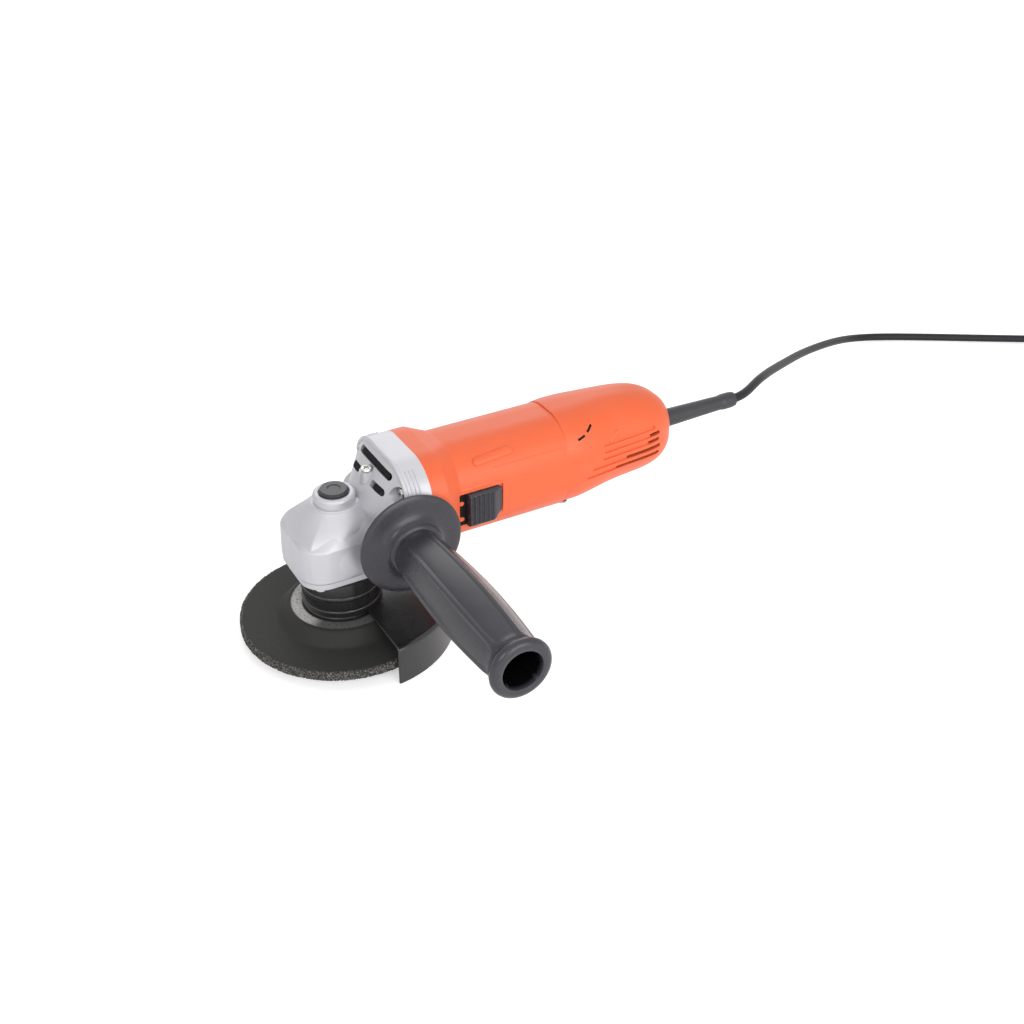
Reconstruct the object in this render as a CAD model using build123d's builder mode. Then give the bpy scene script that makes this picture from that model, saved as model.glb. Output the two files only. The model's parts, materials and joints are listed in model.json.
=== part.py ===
from build123d import *
import math
import os

os.makedirs("parts", exist_ok=True)

# Small corded angle grinder, millimetres. The spindle is the Z axis, the motor runs along X to the rear,
# the side handle points to -Y. Heights count from the foot of the wheel guard.

# Wheel and the stack that clamps it
wheel_d = 125.0
wheel_t = 6.0
wheel_bore_d = 22.23
wheel_foot_z = 7.5
hub_rise = 7.6
hub_flat_r = 32.0
hub_slope = 9.0
flange_r = 23.4
flange_t = 2.1
pilot_h = 4.0
pilot_clear = 0.1
nut_r = 15.0
nut_t = 6.2
thread_d = 14.0

# Guard and its clamp
guard_gap = 3.2
guard_t = 1.8
guard_edge_x = 6.0
guard_foot_z = 0.0
guard_lift = 0.6
collar_t = 2.3
collar_top_z = 46.0
clamp_turn = 100.0
clamp_gap = 3.0
ear_t = 2.5
ear_reach = 11.0
ear_h = 10.0
clamp_screw_d = 5.0
run_clear = 0.06
bearing_fit = 0.03

# Gear head
head_foot_z = 54.0
head_half = 27.5
head_front = 30.0
head_corner = 15.0
motor_z = 82.7
shoulder_z = 75.0
shoulder_inset = 0.6
slope_z = 81.0
slope_half = 22.8
slope_corner = 15.5
boss_r = 12.4
boss_foot_z = 91.0
boss_top_z = 96.2
boss_step_r = 15.0
boss_step_z = 91.8
ramp_x = 12.0
ramp_half_y = 13.0
ramp_half_z = 9.0
ramp_corner = 8.8
flare_end_x = 30.0
flare_inset = 2.0
flange_end_x = 46.0
head_wall = 3.3
handle_x = 28.6
handle_z = 76.2
handle_boss_r = 10.5
handle_boss_y = 33.0
handle_thread_d = 8.0
handle_thread_depth = 15.0
vent_h = 4.4
long_vent_half = 21.0
long_vent_z = 109.4
short_vent_in = 7.5
short_vent_out = 21.0
short_vent_z = 101.6
vent_depth = 13.0
vent_screw_x = 21.2
vent_screw_z = 105.4
flange_screw_y = 28.0
flange_screw_z = 19.2
screw_d = 4.0
screw_head_d = 7.6
screw_head_t = 3.0
screw_clear = 0.1

# Spindle bearing flange
neck_r = 21.5
neck_foot_z = 24.2
plate_t = 3.5
plate_inset = 0.3
spigot_h = 3.0
spindle_bearing_od = 35.0
spindle_bearing_id = 15.0
spindle_bearing_w = 11.0
spindle_bearing_z = 35.5
retainer_t = 2.0
retainer_lap = 1.5
flange_bolt_r = 27.6

# Bevel pair
crown_teeth = 35
pinion_teeth = 11
gear_module = 1.25
pinion_shift = 0.35
gear_backlash = 0.16
gear_face = 7.0
crown_back_z = 63.5
gear_clear = 1.4
pinion_bore_d = 6.0
pinion_hub_r = 5.4
pinion_nut_t = 3.0
pinion_nut_w = 8.0
vent_screw_d = 3.5

# Spindle lock
tang_side = 5.0
tang_h = 3.3
socket_clear = 0.15
needle_od = 12.0
needle_id = 8.0
needle_w = 6.0
needle_z = 82.4
button_r = 8.7
button_top_z = 99.5
button_wall = 1.1
button_cap_t = 2.0
button_lip = 0.6
lock_travel = 3.3
ring_t = 1.3
spring_wire = 0.8
spring_turns = 4

# Armature
front_bearing_x = 27.0
front_bearing_od = 26.0
front_bearing_id = 10.0
front_bearing_w = 8.0
rear_bearing_x = 137.0
rear_bearing_od = 19.0
rear_bearing_id = 6.0
rear_bearing_w = 6.0
bearing_plate_t = 2.5
fan_x = 39.5
fan_w = 13.0
fan_r = 27.4
fan_blades = 18
baffle_x = 55.0
baffle_t = 2.0
core_x = 68.0
core_len = 46.0
core_r = 16.5
core_slots = 12
air_gap = 0.6
stator_r = 27.0
stator_flat = 23.5
stator_over = 2.0
winding_len = 6.0
commutator_len = 13.0
commutator_r = 11.5
commutator_bars = 24
shaft_core_d = 11.0

# Motor housing and rear cover
collar_half_y = 36.8
collar_half_z = 33.0
collar_corner = 24.0
collar_end_x = 56.0
grip_start_x = 67.0
grip_half_y = 30.0
grip_half_z = 30.8
grip_corner = 25.0
seam_x = 141.0
bore_clear = 0.1
lip_len = 9.0
cover_wall = 2.5
cover_rise = 1.0
cover_seat = 1.3
tail_x = 224.0
sleeve_end_x = 286.0
sleeve_root_r = 6.0
sleeve_tip_r = 4.8
sleeve_bulb_r = 5.3

# Switch
slider_x = 71.0
slider_len = 23.5
slider_h = 22.3
slider_z = 78.8
slider_proud = 3.4
slider_travel = 5.0
pocket_depth = 1.2
pocket_clear = 0.4
stem_len = 8.0
stem_h = 6.0
rod_t = 1.5
rod_gap = 0.5
switch_x = 160.0
switch_len = 28.0
switch_w = 20.0
switch_h = 22.0

# Handle
disc_y = 43.7
disc_r = 31.6
disc_t = 3.2
handle_end_y = 172.0
grip_neck_r = 13.5
grip_end_r = 15.2
grip_turn = 13.0
grip_ridge_r = 3.0
grip_stations = ((0.0, 13.0), (0.25, 15.3), (0.5, 16.5), (0.75, 16.0), (1.0, 14.0))
rim_r = 17.9
rim_w = 7.0
handle_bore_r = 11.6
handle_bore_depth = 62.0
stud_len = 58.0

# Cord
cord_d = 6.0
coil_gap = 0.6
coil_inner_r = 24.0
coil_turns = 3
coil_lift = 1.0
tie_t = 0.7
tie_w = 8.0
plug_len = 42.0
pin_len = 19.0
pin_d = 4.8
pin_pitch = 19.0

# Heights and radii that follow from the sizes above
wheel_r = wheel_d / 2
rim_top_z = wheel_foot_z + wheel_t
hub_top_z = rim_top_z + hub_rise
hub_foot_z = hub_top_z - wheel_t
flange_top_z = hub_top_z + flange_t
guard_plate_z = flange_top_z + guard_lift
guard_top_z = guard_plate_z + guard_t
guard_r = wheel_r + guard_gap + guard_t
collar_r = neck_r + run_clear + collar_t
motor_axis = Axis((0, 0, motor_z), (1, 0, 0))
crown_r = gear_module * crown_teeth / 2
pinion_r = gear_module * pinion_teeth / 2
cone_len = math.hypot(crown_r, pinion_r)
pinion_far_x = crown_r
pinion_near_x = crown_r * (cone_len - gear_face) / cone_len
stator_x = core_x - stator_over
stator_len = core_len + 2 * stator_over
core_end_x = core_x + core_len
commutator_x = core_end_x + winding_len + 1.0
brush_x = commutator_x + commutator_len / 2
shaft_end_x = rear_bearing_x + rear_bearing_w + 1.0
bore_r = stator_r + bore_clear
pieces = {}


def station(x):
    """Plane across the motor axis: local x is +Y, local y is +Z, normal +X."""
    return Plane(origin=(x, 0, motor_z), x_dir=(0, 1, 0), z_dir=(1, 0, 0))


def handle_station(y):
    """Plane across the handle axis at y out to the near side: normal -Y."""
    return Plane(origin=(handle_x, -y, handle_z), x_dir=(1, 0, 0), z_dir=(0, -1, 0))


def spin_z(*profile, mode=Mode.ADD):
    """Turn (radius, height) points about the spindle axis."""
    with BuildSketch(Plane.XZ) as section:
        with BuildLine():
            Polyline(*profile, close=True)
        make_face()
    revolve(section.sketch, axis=Axis.Z, mode=mode)


def spin_x(*profile, mode=Mode.ADD):
    """Turn (station, radius) points about the motor axis."""
    with BuildSketch(Plane.XZ) as section:
        with BuildLine():
            Polyline(*[(x, motor_z + r) for x, r in profile], close=True)
        make_face()
    revolve(section.sketch, axis=motor_axis, mode=mode)


def ring_z(inner, outer, low, high, mode=Mode.ADD):
    spin_z((inner, low), (outer, low), (outer, high), (inner, high), mode=mode)


def ring_x(inner, outer, start, end, mode=Mode.ADD):
    spin_x((start, inner), (start, outer), (end, outer), (end, inner), mode=mode)


def sector(inner, outer, start, end, mode=Mode.ADD):
    """Annular sector in the sketch, angles in degrees."""
    with BuildLine() as outline:
        a = CenterArc((0, 0), outer, start, end - start)
        b = CenterArc((0, 0), inner, start, end - start)
        Line(a @ 0, b @ 0)
        Line(a @ 1, b @ 1)
    make_face(outline.edges(), mode=mode)


def screw_x(x, y, z, length, d=screw_d, head_d=screw_head_d, head_t=screw_head_t):
    """Pan-head screw pointing to +X with the underside of its head at station x."""
    with BuildSketch(station(x)) as body:
        with Locations((y, z)):
            Circle(d / 2)
    extrude(body.sketch, amount=length)
    with BuildSketch(station(x - head_t)) as head:
        with Locations((y, z)):
            Circle(head_d / 2)
    extrude(head.sketch, amount=head_t)


def ball_bearing_profile(inner, outer, start, end):
    """Closed bearing section: two races and a shield set back between them."""
    set_back = 0.6
    race = (outer - inner) * 0.22
    return [
        (start, inner), (start, inner + race), (start + set_back, inner + race),
        (start + set_back, outer - race), (start, outer - race), (start, outer),
        (end, outer), (end, outer - race), (end - set_back, outer - race),
        (end - set_back, inner + race), (end, inner + race), (end, inner),
    ]


def tooth_ring(teeth, mate, shift, axial, first):
    """Bevel gear outline at a distance from the apex: involute flanks carried on rays through the apex."""
    cone = math.atan(teeth / mate)
    pressure = math.radians(20)
    pitch = gear_module * teeth / 2
    virtual = teeth / math.cos(cone)
    virtual_r = gear_module * virtual / 2
    base_r = virtual_r * math.cos(pressure)
    half = (math.pi / 2 + 2 * shift * math.tan(pressure)) / virtual - gear_backlash / (4 * virtual_r)
    root = virtual_r - gear_module * (1.25 - shift)
    tip = virtual_r + gear_module * (1.0 + shift)
    involute = math.tan(pressure) - pressure
    steps = 4
    flank = []
    low = max(root, base_r)
    for i in range(steps + 1):
        r = low + (tip - low) * i / steps
        roll = math.acos(min(1.0, base_r / r))
        flank.append((r, half + involute - math.tan(roll) + roll))
    if root < base_r:
        flank.insert(0, (root, flank[0][1]))
    apex = gear_module * mate / 2
    points = []
    for tooth in range(teeth):
        middle = first + 2 * math.pi * tooth / teeth
        for side, run in ((-1, flank), (1, reversed(flank))):
            for r, angle in run:
                rise = r - virtual_r
                slope = (pitch + rise * math.cos(cone)) / (apex - rise * math.sin(cone))
                turn = middle + side * angle / math.cos(cone)
                points.append((axial * slope * math.cos(turn), axial * slope * math.sin(turn)))
    return points


def tooth_loft(teeth, mate, shift, planes, first):
    """Straight bevel teeth between two planes, given with their distance from the apex."""
    sections = []
    for plane, axial in planes:
        with BuildSketch(plane) as section:
            with BuildLine():
                Polyline(*tooth_ring(teeth, mate, shift, axial, first), close=True)
            make_face()
        sections.append(section.sketch)
    loft(sections, ruled=True)


def biarc(p0, t0, p1, t1):
    """Two arcs that join p0 to p1 with the tangents t0 and t1."""
    v = p1 - p0
    a = 2 * (t0.dot(t1) - 1)
    b = -2 * v.dot(t0 + t1)
    c = v.dot(v)
    d = -c / b if abs(a) < 1e-9 else (-b - math.sqrt(b * b - 4 * a * c)) / (2 * a)
    middle = (p0 + p1 + (t0 - t1) * d) * 0.5
    TangentArc(p0, middle, tangent=t0)
    TangentArc(middle, p1, tangent=v - (t0 + t1) * d)


# Wheel, turned with a raised hub
with BuildPart() as grinding_wheel:
    bore = wheel_bore_d / 2
    spin_z(
        (bore, hub_top_z), (hub_flat_r, hub_top_z), (hub_flat_r + hub_slope, rim_top_z), (wheel_r, rim_top_z),
        (wheel_r, wheel_foot_z), (hub_flat_r + hub_slope - 2.5, wheel_foot_z),
        (hub_flat_r - 2.5, hub_foot_z), (bore, hub_foot_z),
    )
pieces["grinding_wheel"] = grinding_wheel.part

with BuildPart() as backing_flange:
    spin_z(
        (thread_d / 2, hub_top_z - pilot_h), (wheel_bore_d / 2 - pilot_clear, hub_top_z - pilot_h),
        (wheel_bore_d / 2 - pilot_clear, hub_top_z), (flange_r, hub_top_z),
        (flange_r, flange_top_z - 0.8), (flange_r - 0.8, flange_top_z), (thread_d / 2, flange_top_z),
    )
pieces["backing_flange"] = backing_flange.part

with BuildPart() as lock_nut:
    spin_z(
        (thread_d / 2, hub_foot_z - nut_t), (nut_r - 3.5, hub_foot_z - nut_t), (nut_r - 2.5, hub_foot_z - nut_t + 1),
        (nut_r - 2.5, hub_foot_z - 3), (nut_r, hub_foot_z - 3), (nut_r, hub_foot_z), (thread_d / 2, hub_foot_z),
    )
    with BuildSketch(Plane.XY.offset(hub_foot_z - nut_t)):
        with PolarLocations((thread_d / 2 + nut_r - 3.5) / 2, 2):
            Circle(1.6)
    extrude(amount=4, mode=Mode.SUBTRACT)
pieces["lock_nut"] = lock_nut.part

# Spindle: threaded foot, bearing seat, gear seat, upper journal and square tang
shoulder_r = spindle_bearing_id / 2 + 1.2
bearing_end_z = spindle_bearing_z + spindle_bearing_w
needle_end_z = needle_z + needle_w
tang_foot_z = needle_end_z + 1.8
tang_top_z = tang_foot_z + tang_h
gear_seat_r = spindle_bearing_id / 2 - 0.5
crown_top_z = motor_z - pinion_r + 0.2
with BuildPart() as spindle:
    foot = hub_foot_z - nut_t - 0.8
    journal = spindle_bearing_id / 2 - bearing_fit
    upper = needle_id / 2 - bearing_fit
    spin_z(
        (0, foot), (thread_d / 2 - 1, foot), (thread_d / 2, foot + 1), (thread_d / 2, flange_top_z),
        (shoulder_r, flange_top_z), (shoulder_r, spindle_bearing_z - 0.1),
        (journal, spindle_bearing_z - 0.1), (journal, crown_back_z),
        (gear_seat_r, crown_back_z), (gear_seat_r, crown_top_z), (gear_seat_r - 1.5, crown_top_z),
        (gear_seat_r - 1.5, needle_z - 0.6), (upper, needle_z - 0.6), (upper, tang_foot_z), (0, tang_foot_z),
    )
    with BuildSketch(Plane.XY.offset(tang_foot_z)):
        Rectangle(tang_side, tang_side)
    extrude(amount=tang_h)
pieces["spindle"] = spindle.part

# Crown gear: teeth on rays through the apex, trimmed by a turned blank
crown_in_r = crown_r * (cone_len - gear_face) / cone_len
crown_out_r = crown_r + 0.8
tooth_low = 9.6
tooth_high = 3.2
with BuildPart() as crown_gear:
    tooth_loft(
        crown_teeth, pinion_teeth, -pinion_shift,
        [(Plane.XY.offset(motor_z - tooth_low), tooth_low), (Plane.XY.offset(motor_z - tooth_high), tooth_high)],
        math.pi / crown_teeth,
    )
    spin_z(
        (crown_in_r, motor_z - tooth_low), (crown_out_r, motor_z - tooth_low),
        (crown_out_r, motor_z - tooth_high), (crown_in_r, motor_z - tooth_high), mode=Mode.INTERSECT,
    )
    spin_z(
        (gear_seat_r, crown_back_z), (gear_seat_r + 5, crown_back_z), (crown_out_r - 3, motor_z - tooth_low - 3),
        (crown_out_r, motor_z - tooth_low - 1), (crown_out_r, motor_z - tooth_low),
        (crown_in_r, motor_z - tooth_low), (crown_in_r, crown_top_z - 3), (crown_in_r - 3, crown_top_z),
        (gear_seat_r, crown_top_z),
    )
pieces["crown_gear"] = crown_gear.part

# Lower spindle bearing with the ring that holds it in the flange
with BuildPart() as spindle_bearing:
    profile = ball_bearing_profile(
        spindle_bearing_id / 2, spindle_bearing_od / 2, spindle_bearing_z, bearing_end_z)
    spin_z(*[(r, z) for z, r in profile])
pieces["spindle_bearing"] = spindle_bearing.part

with BuildPart() as bearing_retainer:
    ring_z(spindle_bearing_od / 2 - 3, spindle_bearing_od / 2 + retainer_lap, bearing_end_z, bearing_end_z + retainer_t)
pieces["bearing_retainer"] = bearing_retainer.part

plate_foot_z = head_foot_z - plate_t
head_len = head_front + head_half
head_mid_x = (head_half - head_front) / 2
spigot_r = crown_out_r + gear_clear
bolt_at = flange_bolt_r / math.sqrt(2)
with BuildPart() as bearing_flange:
    with BuildSketch(Plane.XY.offset(plate_foot_z)):
        with Locations((head_mid_x, 0)):
            RectangleRounded(head_len - 2 * plate_inset, 2 * (head_half - plate_inset), head_corner - plate_inset)
    extrude(amount=plate_t)
    ring_z(0, neck_r, neck_foot_z, plate_foot_z)
    ring_z(0, spigot_r, head_foot_z, head_foot_z + spigot_h)
    ring_z(0, shoulder_r + 0.6, neck_foot_z, spindle_bearing_z, mode=Mode.SUBTRACT)
    ring_z(0, spindle_bearing_od / 2, spindle_bearing_z, bearing_end_z, mode=Mode.SUBTRACT)
    ring_z(0, spindle_bearing_od / 2 + retainer_lap, bearing_end_z, head_foot_z + spigot_h, mode=Mode.SUBTRACT)
    with BuildSketch(Plane.XY.offset(plate_foot_z)):
        with GridLocations(2 * bolt_at, 2 * bolt_at, 2, 2):
            Circle(screw_d / 2 + screw_clear)
    extrude(amount=plate_t, mode=Mode.SUBTRACT)
    spin_z(
        (neck_r - 1.2, collar_top_z + 1.5), (neck_r + 1, collar_top_z + 1.5),
        (neck_r + 1, collar_top_z + 4), (neck_r - 1.2, collar_top_z + 4), mode=Mode.SUBTRACT,
    )
pieces["bearing_flange"] = bearing_flange.part

flange_screw_len = 14.0
with BuildPart() as bearing_flange_screws:
    with BuildSketch(Plane.XY.offset(plate_foot_z)):
        with GridLocations(2 * bolt_at, 2 * bolt_at, 2, 2):
            Circle(screw_d / 2)
    extrude(amount=flange_screw_len)
    with BuildSketch(Plane.XY.offset(plate_foot_z - screw_head_t)):
        with GridLocations(2 * bolt_at, 2 * bolt_at, 2, 2):
            Circle(screw_head_d / 2)
    extrude(amount=screw_head_t)
pieces["bearing_flange_screws"] = bearing_flange_screws.part

# Gear housing: a domed square head that flares into the motor flange
seat_floor_z = needle_end_z + 1.0
ring_foot_z = boss_top_z - ring_t
front_bearing_end = front_bearing_x + front_bearing_w
hub_r = front_bearing_od / 2 + 3.5
cavity_top_z = motor_z - crown_in_r * pinion_teeth / crown_teeth + gear_module + 0.6
pinion_nose_x = pinion_near_x - 0.8
pinion_room_x = pinion_nose_x - pinion_nut_t - 0.9
pinion_room_r = pinion_r + gear_module * (1 + pinion_shift) + gear_clear
chamber_x = flare_end_x + 2.5
chamber_half_y = collar_half_y - head_wall
chamber_half_z = collar_half_z - head_wall
chamber_corner = collar_corner - head_wall
corner_spots = [(y, z) for y in (-flange_screw_y, flange_screw_y) for z in (-flange_screw_z, flange_screw_z)]
corner_boss_r = screw_head_d / 2 + 1.6
head_x = flange_end_x - 12.5
ramp_foot_z = motor_z + ramp_half_z
ramp_rise = collar_half_z - flare_inset - ramp_half_z
ramp_face = Plane(origin=(ramp_x, 0, ramp_foot_z), x_dir=(0, -1, 0), z_dir=(-ramp_rise, 0, flare_end_x - ramp_x))
with BuildPart() as gear_housing:
    for z, inset in ((head_foot_z, 0), (shoulder_z, shoulder_inset)):
        with BuildSketch(Plane.XY.offset(z)):
            with Locations((head_mid_x, 0)):
                RectangleRounded(head_len - 2 * inset, 2 * (head_half - inset), head_corner)
    loft(ruled=True)
    with BuildSketch(Plane.XY.offset(shoulder_z)):
        with Locations((head_mid_x, 0)):
            RectangleRounded(head_len - 2 * shoulder_inset, 2 * (head_half - shoulder_inset), head_corner)
    with BuildSketch(Plane.XY.offset(slope_z)):
        RectangleRounded(2 * slope_half, 2 * slope_half, slope_corner)
    with BuildSketch(Plane.XY.offset(boss_foot_z)):
        RectangleRounded(2 * boss_r, 2 * boss_r, boss_r - 0.2)
    loft()
    fillet(gear_housing.edges().filter_by_position(Axis.Z, shoulder_z - 0.01, shoulder_z + 0.01), 2.5)
    fillet(gear_housing.edges().group_by(Axis.Z)[0], 0.8)
    spin_z((0, boss_foot_z - 8), (boss_step_r, boss_foot_z - 8), (boss_step_r, boss_step_z - 1.2),
           (boss_step_r - 1.2, boss_step_z), (boss_r, boss_step_z), (boss_r, boss_top_z - 0.7),
           (boss_r - 0.7, boss_top_z), (0, boss_top_z))
    # ramp from the head up to the motor flange, flat on top for the air outlets
    with BuildSketch(station(0)):
        RectangleRounded(2 * ramp_half_y, 2 * ramp_half_z, ramp_corner)
    extrude(amount=ramp_x)
    with BuildSketch(station(ramp_x)):
        RectangleRounded(2 * ramp_half_y, 2 * ramp_half_z, ramp_corner)
    with BuildSketch(station(flare_end_x)):
        RectangleRounded(2 * (collar_half_y - flare_inset), 2 * (collar_half_z - flare_inset), collar_corner - flare_inset)
    loft(ruled=True)
    with BuildSketch(station(flare_end_x)):
        RectangleRounded(2 * (collar_half_y - flare_inset), 2 * (collar_half_z - flare_inset), collar_corner - flare_inset)
    with BuildSketch(station(flare_end_x + flare_inset)):
        RectangleRounded(2 * collar_half_y, 2 * collar_half_z, collar_corner)
    loft(ruled=True)
    with BuildSketch(station(flare_end_x + flare_inset)):
        RectangleRounded(2 * collar_half_y, 2 * collar_half_z, collar_corner)
    extrude(amount=flange_end_x - flare_end_x - flare_inset)
    with Locations((0, 0, head_foot_z)):
        Box(2 * flare_end_x, 4 * head_half, 40, align=(Align.CENTER, Align.CENTER, Align.MAX), mode=Mode.SUBTRACT)
    with BuildSketch(handle_station(0)):
        Circle(handle_boss_r)
    extrude(amount=handle_boss_y, both=True)
    # room for the gears, the bearings and the fan
    spin_z((0, head_foot_z), (spigot_r, head_foot_z), (spigot_r, cavity_top_z - 3),
           (spigot_r - 3.6, cavity_top_z), (0, cavity_top_z), mode=Mode.SUBTRACT)
    ring_z(0, gear_seat_r + 0.6, cavity_top_z - 1, needle_z, mode=Mode.SUBTRACT)
    ring_z(0, needle_od / 2, needle_z, needle_end_z, mode=Mode.SUBTRACT)
    ring_z(0, needle_id / 2 + 0.4, needle_end_z, seat_floor_z, mode=Mode.SUBTRACT)
    ring_z(0, button_r + button_lip + 0.15, seat_floor_z, ring_foot_z, mode=Mode.SUBTRACT)
    ring_z(0, button_r + 1.8, ring_foot_z, boss_top_z, mode=Mode.SUBTRACT)
    ring_x(0, pinion_room_r, pinion_room_x, front_bearing_x, mode=Mode.SUBTRACT)
    ring_x(0, front_bearing_od / 2, front_bearing_x, front_bearing_end, mode=Mode.SUBTRACT)
    with BuildSketch(station(chamber_x)):
        RectangleRounded(2 * chamber_half_y - 6, 2 * chamber_half_z - 6, chamber_corner - 3)
        Circle(hub_r, mode=Mode.SUBTRACT)
    extrude(amount=front_bearing_end - chamber_x, mode=Mode.SUBTRACT)
    with BuildSketch(station(front_bearing_end)):
        RectangleRounded(2 * chamber_half_y, 2 * chamber_half_z, chamber_corner)
    extrude(amount=flange_end_x - front_bearing_end, mode=Mode.SUBTRACT)
    # corner bosses for the flange screws, and the sockets for the side handle
    with BuildSketch(station(chamber_x - 1)):
        with Locations(*corner_spots):
            Circle(corner_boss_r)
    extrude(amount=flange_end_x - chamber_x + 1)
    for side in (-1, 1):
        with BuildSketch(handle_station(side * (handle_boss_y - handle_thread_depth - 1.2))):
            Circle(handle_thread_d / 2 + 4)
        extrude(amount=side * handle_thread_depth)
        with BuildSketch(handle_station(side * (handle_boss_y - handle_thread_depth))):
            Circle(handle_thread_d / 2)
        extrude(amount=side * handle_thread_depth, mode=Mode.SUBTRACT)
        with BuildSketch(handle_station(side * handle_boss_y)):
            Circle(grip_neck_r + 0.7)
        extrude(amount=side * 10, mode=Mode.SUBTRACT)
    with BuildSketch(station(chamber_x - 2)):
        with Locations(*corner_spots):
            Circle(screw_d / 2 + screw_clear)
    extrude(amount=flange_end_x - chamber_x + 2, mode=Mode.SUBTRACT)
    with BuildSketch(station(22)):
        with Locations(*corner_spots):
            Circle(screw_head_d / 2 + 0.6)
    extrude(amount=head_x - 22, mode=Mode.SUBTRACT)
    with BuildSketch(Plane.XY.offset(head_foot_z)):
        with GridLocations(2 * bolt_at, 2 * bolt_at, 2, 2):
            Circle(screw_d / 2 + screw_clear)
    extrude(amount=flange_screw_len, mode=Mode.SUBTRACT)
    # air outlets above the gear head
    with BuildSketch(ramp_face):
        with Locations((0, (long_vent_z - ramp_foot_z) / ramp_face.y_dir.Z)):
            SlotOverall(2 * long_vent_half, vent_h)
        for side in (-1, 1):
            with Locations((side * (short_vent_in + short_vent_out) / 2, (short_vent_z - ramp_foot_z) / ramp_face.y_dir.Z)):
                SlotOverall(short_vent_out - short_vent_in, vent_h)
    extrude(amount=-vent_depth, mode=Mode.SUBTRACT)
    # upright boss with the screw between the outlets
    with BuildSketch(Plane.XY.offset(vent_screw_z)):
        with Locations((vent_screw_x, 0)):
            Circle(vent_screw_d + 0.8)
    extrude(amount=-7.5, taper=-6)
    with BuildSketch(Plane.XY.offset(vent_screw_z)):
        with Locations((vent_screw_x, 0)):
            Circle(vent_screw_d + 0.8)
    extrude(amount=10, mode=Mode.SUBTRACT)
    with BuildSketch(Plane.XY.offset(vent_screw_z)):
        with Locations((vent_screw_x, 0)):
            Circle(vent_screw_d / 2)
    extrude(amount=-8, mode=Mode.SUBTRACT)
pieces["gear_housing"] = gear_housing.part


with BuildPart() as vent_screw:
    with BuildSketch(Plane.XY.offset(vent_screw_z)):
        with Locations((vent_screw_x, 0)):
            Circle(vent_screw_d / 2)
    extrude(amount=-7.5)
    with BuildSketch(Plane.XY.offset(vent_screw_z)):
        with Locations((vent_screw_x, 0)):
            Circle(vent_screw_d)
    extrude(amount=1.9)
pieces["vent_screw"] = vent_screw.part

flange_screw_reach = 20.0
with BuildPart() as housing_screws:
    for y, z in corner_spots:
        screw_x(head_x, y, z, flange_screw_reach)
pieces["housing_screws"] = housing_screws.part

# Spindle lock: a sprung button whose square socket drops over the tang
with BuildPart() as needle_bearing:
    ring_z(needle_id / 2, needle_od / 2, needle_z, needle_end_z)
pieces["needle_bearing"] = needle_bearing.part

skirt_foot_z = ring_foot_z - 0.1 - button_lip
cap_foot_z = button_top_z - button_cap_t
socket = tang_side + 2 * socket_clear
with BuildPart() as lock_button:
    spin_z(
        (0, cap_foot_z), (button_r - button_wall, cap_foot_z), (button_r - button_wall, skirt_foot_z),
        (button_r + button_lip, skirt_foot_z), (button_r + button_lip, skirt_foot_z + button_lip),
        (button_r, skirt_foot_z + button_lip), (button_r, button_top_z - 1), (button_r - 1, button_top_z),
        (4.2, button_top_z), (3.4, button_top_z - 0.4), (0, button_top_z - 0.4),
    )
    ring_z(0, socket * 0.72 + 1, tang_top_z + 0.4, cap_foot_z)
    with BuildSketch(Plane.XY.offset(tang_top_z + 0.4)):
        Rectangle(socket, socket)
    extrude(amount=cap_foot_z - tang_top_z - 0.4, mode=Mode.SUBTRACT)
pieces["lock_button"] = lock_button.part

with BuildPart() as button_ring:
    ring_z(button_r + run_clear, button_r + 1.8, ring_foot_z, boss_top_z)
pieces["button_ring"] = button_ring.part

spring_r = (socket * 0.72 + 1 + button_r - button_wall) / 2
spring_low = seat_floor_z + spring_wire / 2
spring_high = cap_foot_z - spring_wire / 2
with BuildPart() as lock_spring:
    with BuildLine() as turns:
        Helix((spring_high - spring_low) / spring_turns, spring_high - spring_low, spring_r, center=(0, 0, spring_low))
    with BuildSketch(Plane(origin=turns.wire() @ 0, z_dir=turns.wire() % 0)):
        Circle(spring_wire / 2)
    sweep()
pieces["lock_spring"] = lock_spring.part

# Pinion with its nut, armature shaft and what it carries
pinion_end_x = front_bearing_x - 0.3
with BuildPart() as pinion:
    tooth_loft(
        pinion_teeth, crown_teeth, pinion_shift,
        [(station(pinion_nose_x), pinion_nose_x), (station(pinion_far_x + 0.4), pinion_far_x + 0.4)],
        -math.pi / 2,
    )
    ring_x(pinion_bore_d / 2, pinion_hub_r, pinion_far_x + 0.4, pinion_end_x)
    ring_x(0, pinion_bore_d / 2, pinion_nose_x, pinion_far_x + 0.4, mode=Mode.SUBTRACT)
pieces["pinion"] = pinion.part

with BuildPart() as pinion_nut:
    with BuildSketch(station(pinion_nose_x - pinion_nut_t)):
        RegularPolygon(pinion_nut_w / 2, 6, major_radius=False)
        Circle(pinion_bore_d / 2, mode=Mode.SUBTRACT)
    extrude(amount=pinion_nut_t)
pieces["pinion_nut"] = pinion_nut.part

with BuildPart() as armature_shaft:
    front = front_bearing_id / 2 - bearing_fit
    rear = rear_bearing_id / 2 - bearing_fit
    nose = pinion_nose_x - pinion_nut_t - 0.3
    spin_x(
        (nose, 0), (nose, pinion_bore_d / 2), (pinion_end_x, pinion_bore_d / 2), (pinion_end_x, front),
        (front_bearing_end + 0.2, front), (front_bearing_end + 0.2, shaft_core_d / 2),
        (rear_bearing_x - 0.2, shaft_core_d / 2), (rear_bearing_x - 0.2, rear), (shaft_end_x, rear), (shaft_end_x, 0),
    )
pieces["armature_shaft"] = armature_shaft.part

with BuildPart() as front_bearing:
    spin_x(*ball_bearing_profile(
        front_bearing_id / 2, front_bearing_od / 2, front_bearing_x, front_bearing_end))
pieces["front_bearing"] = front_bearing.part

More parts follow.
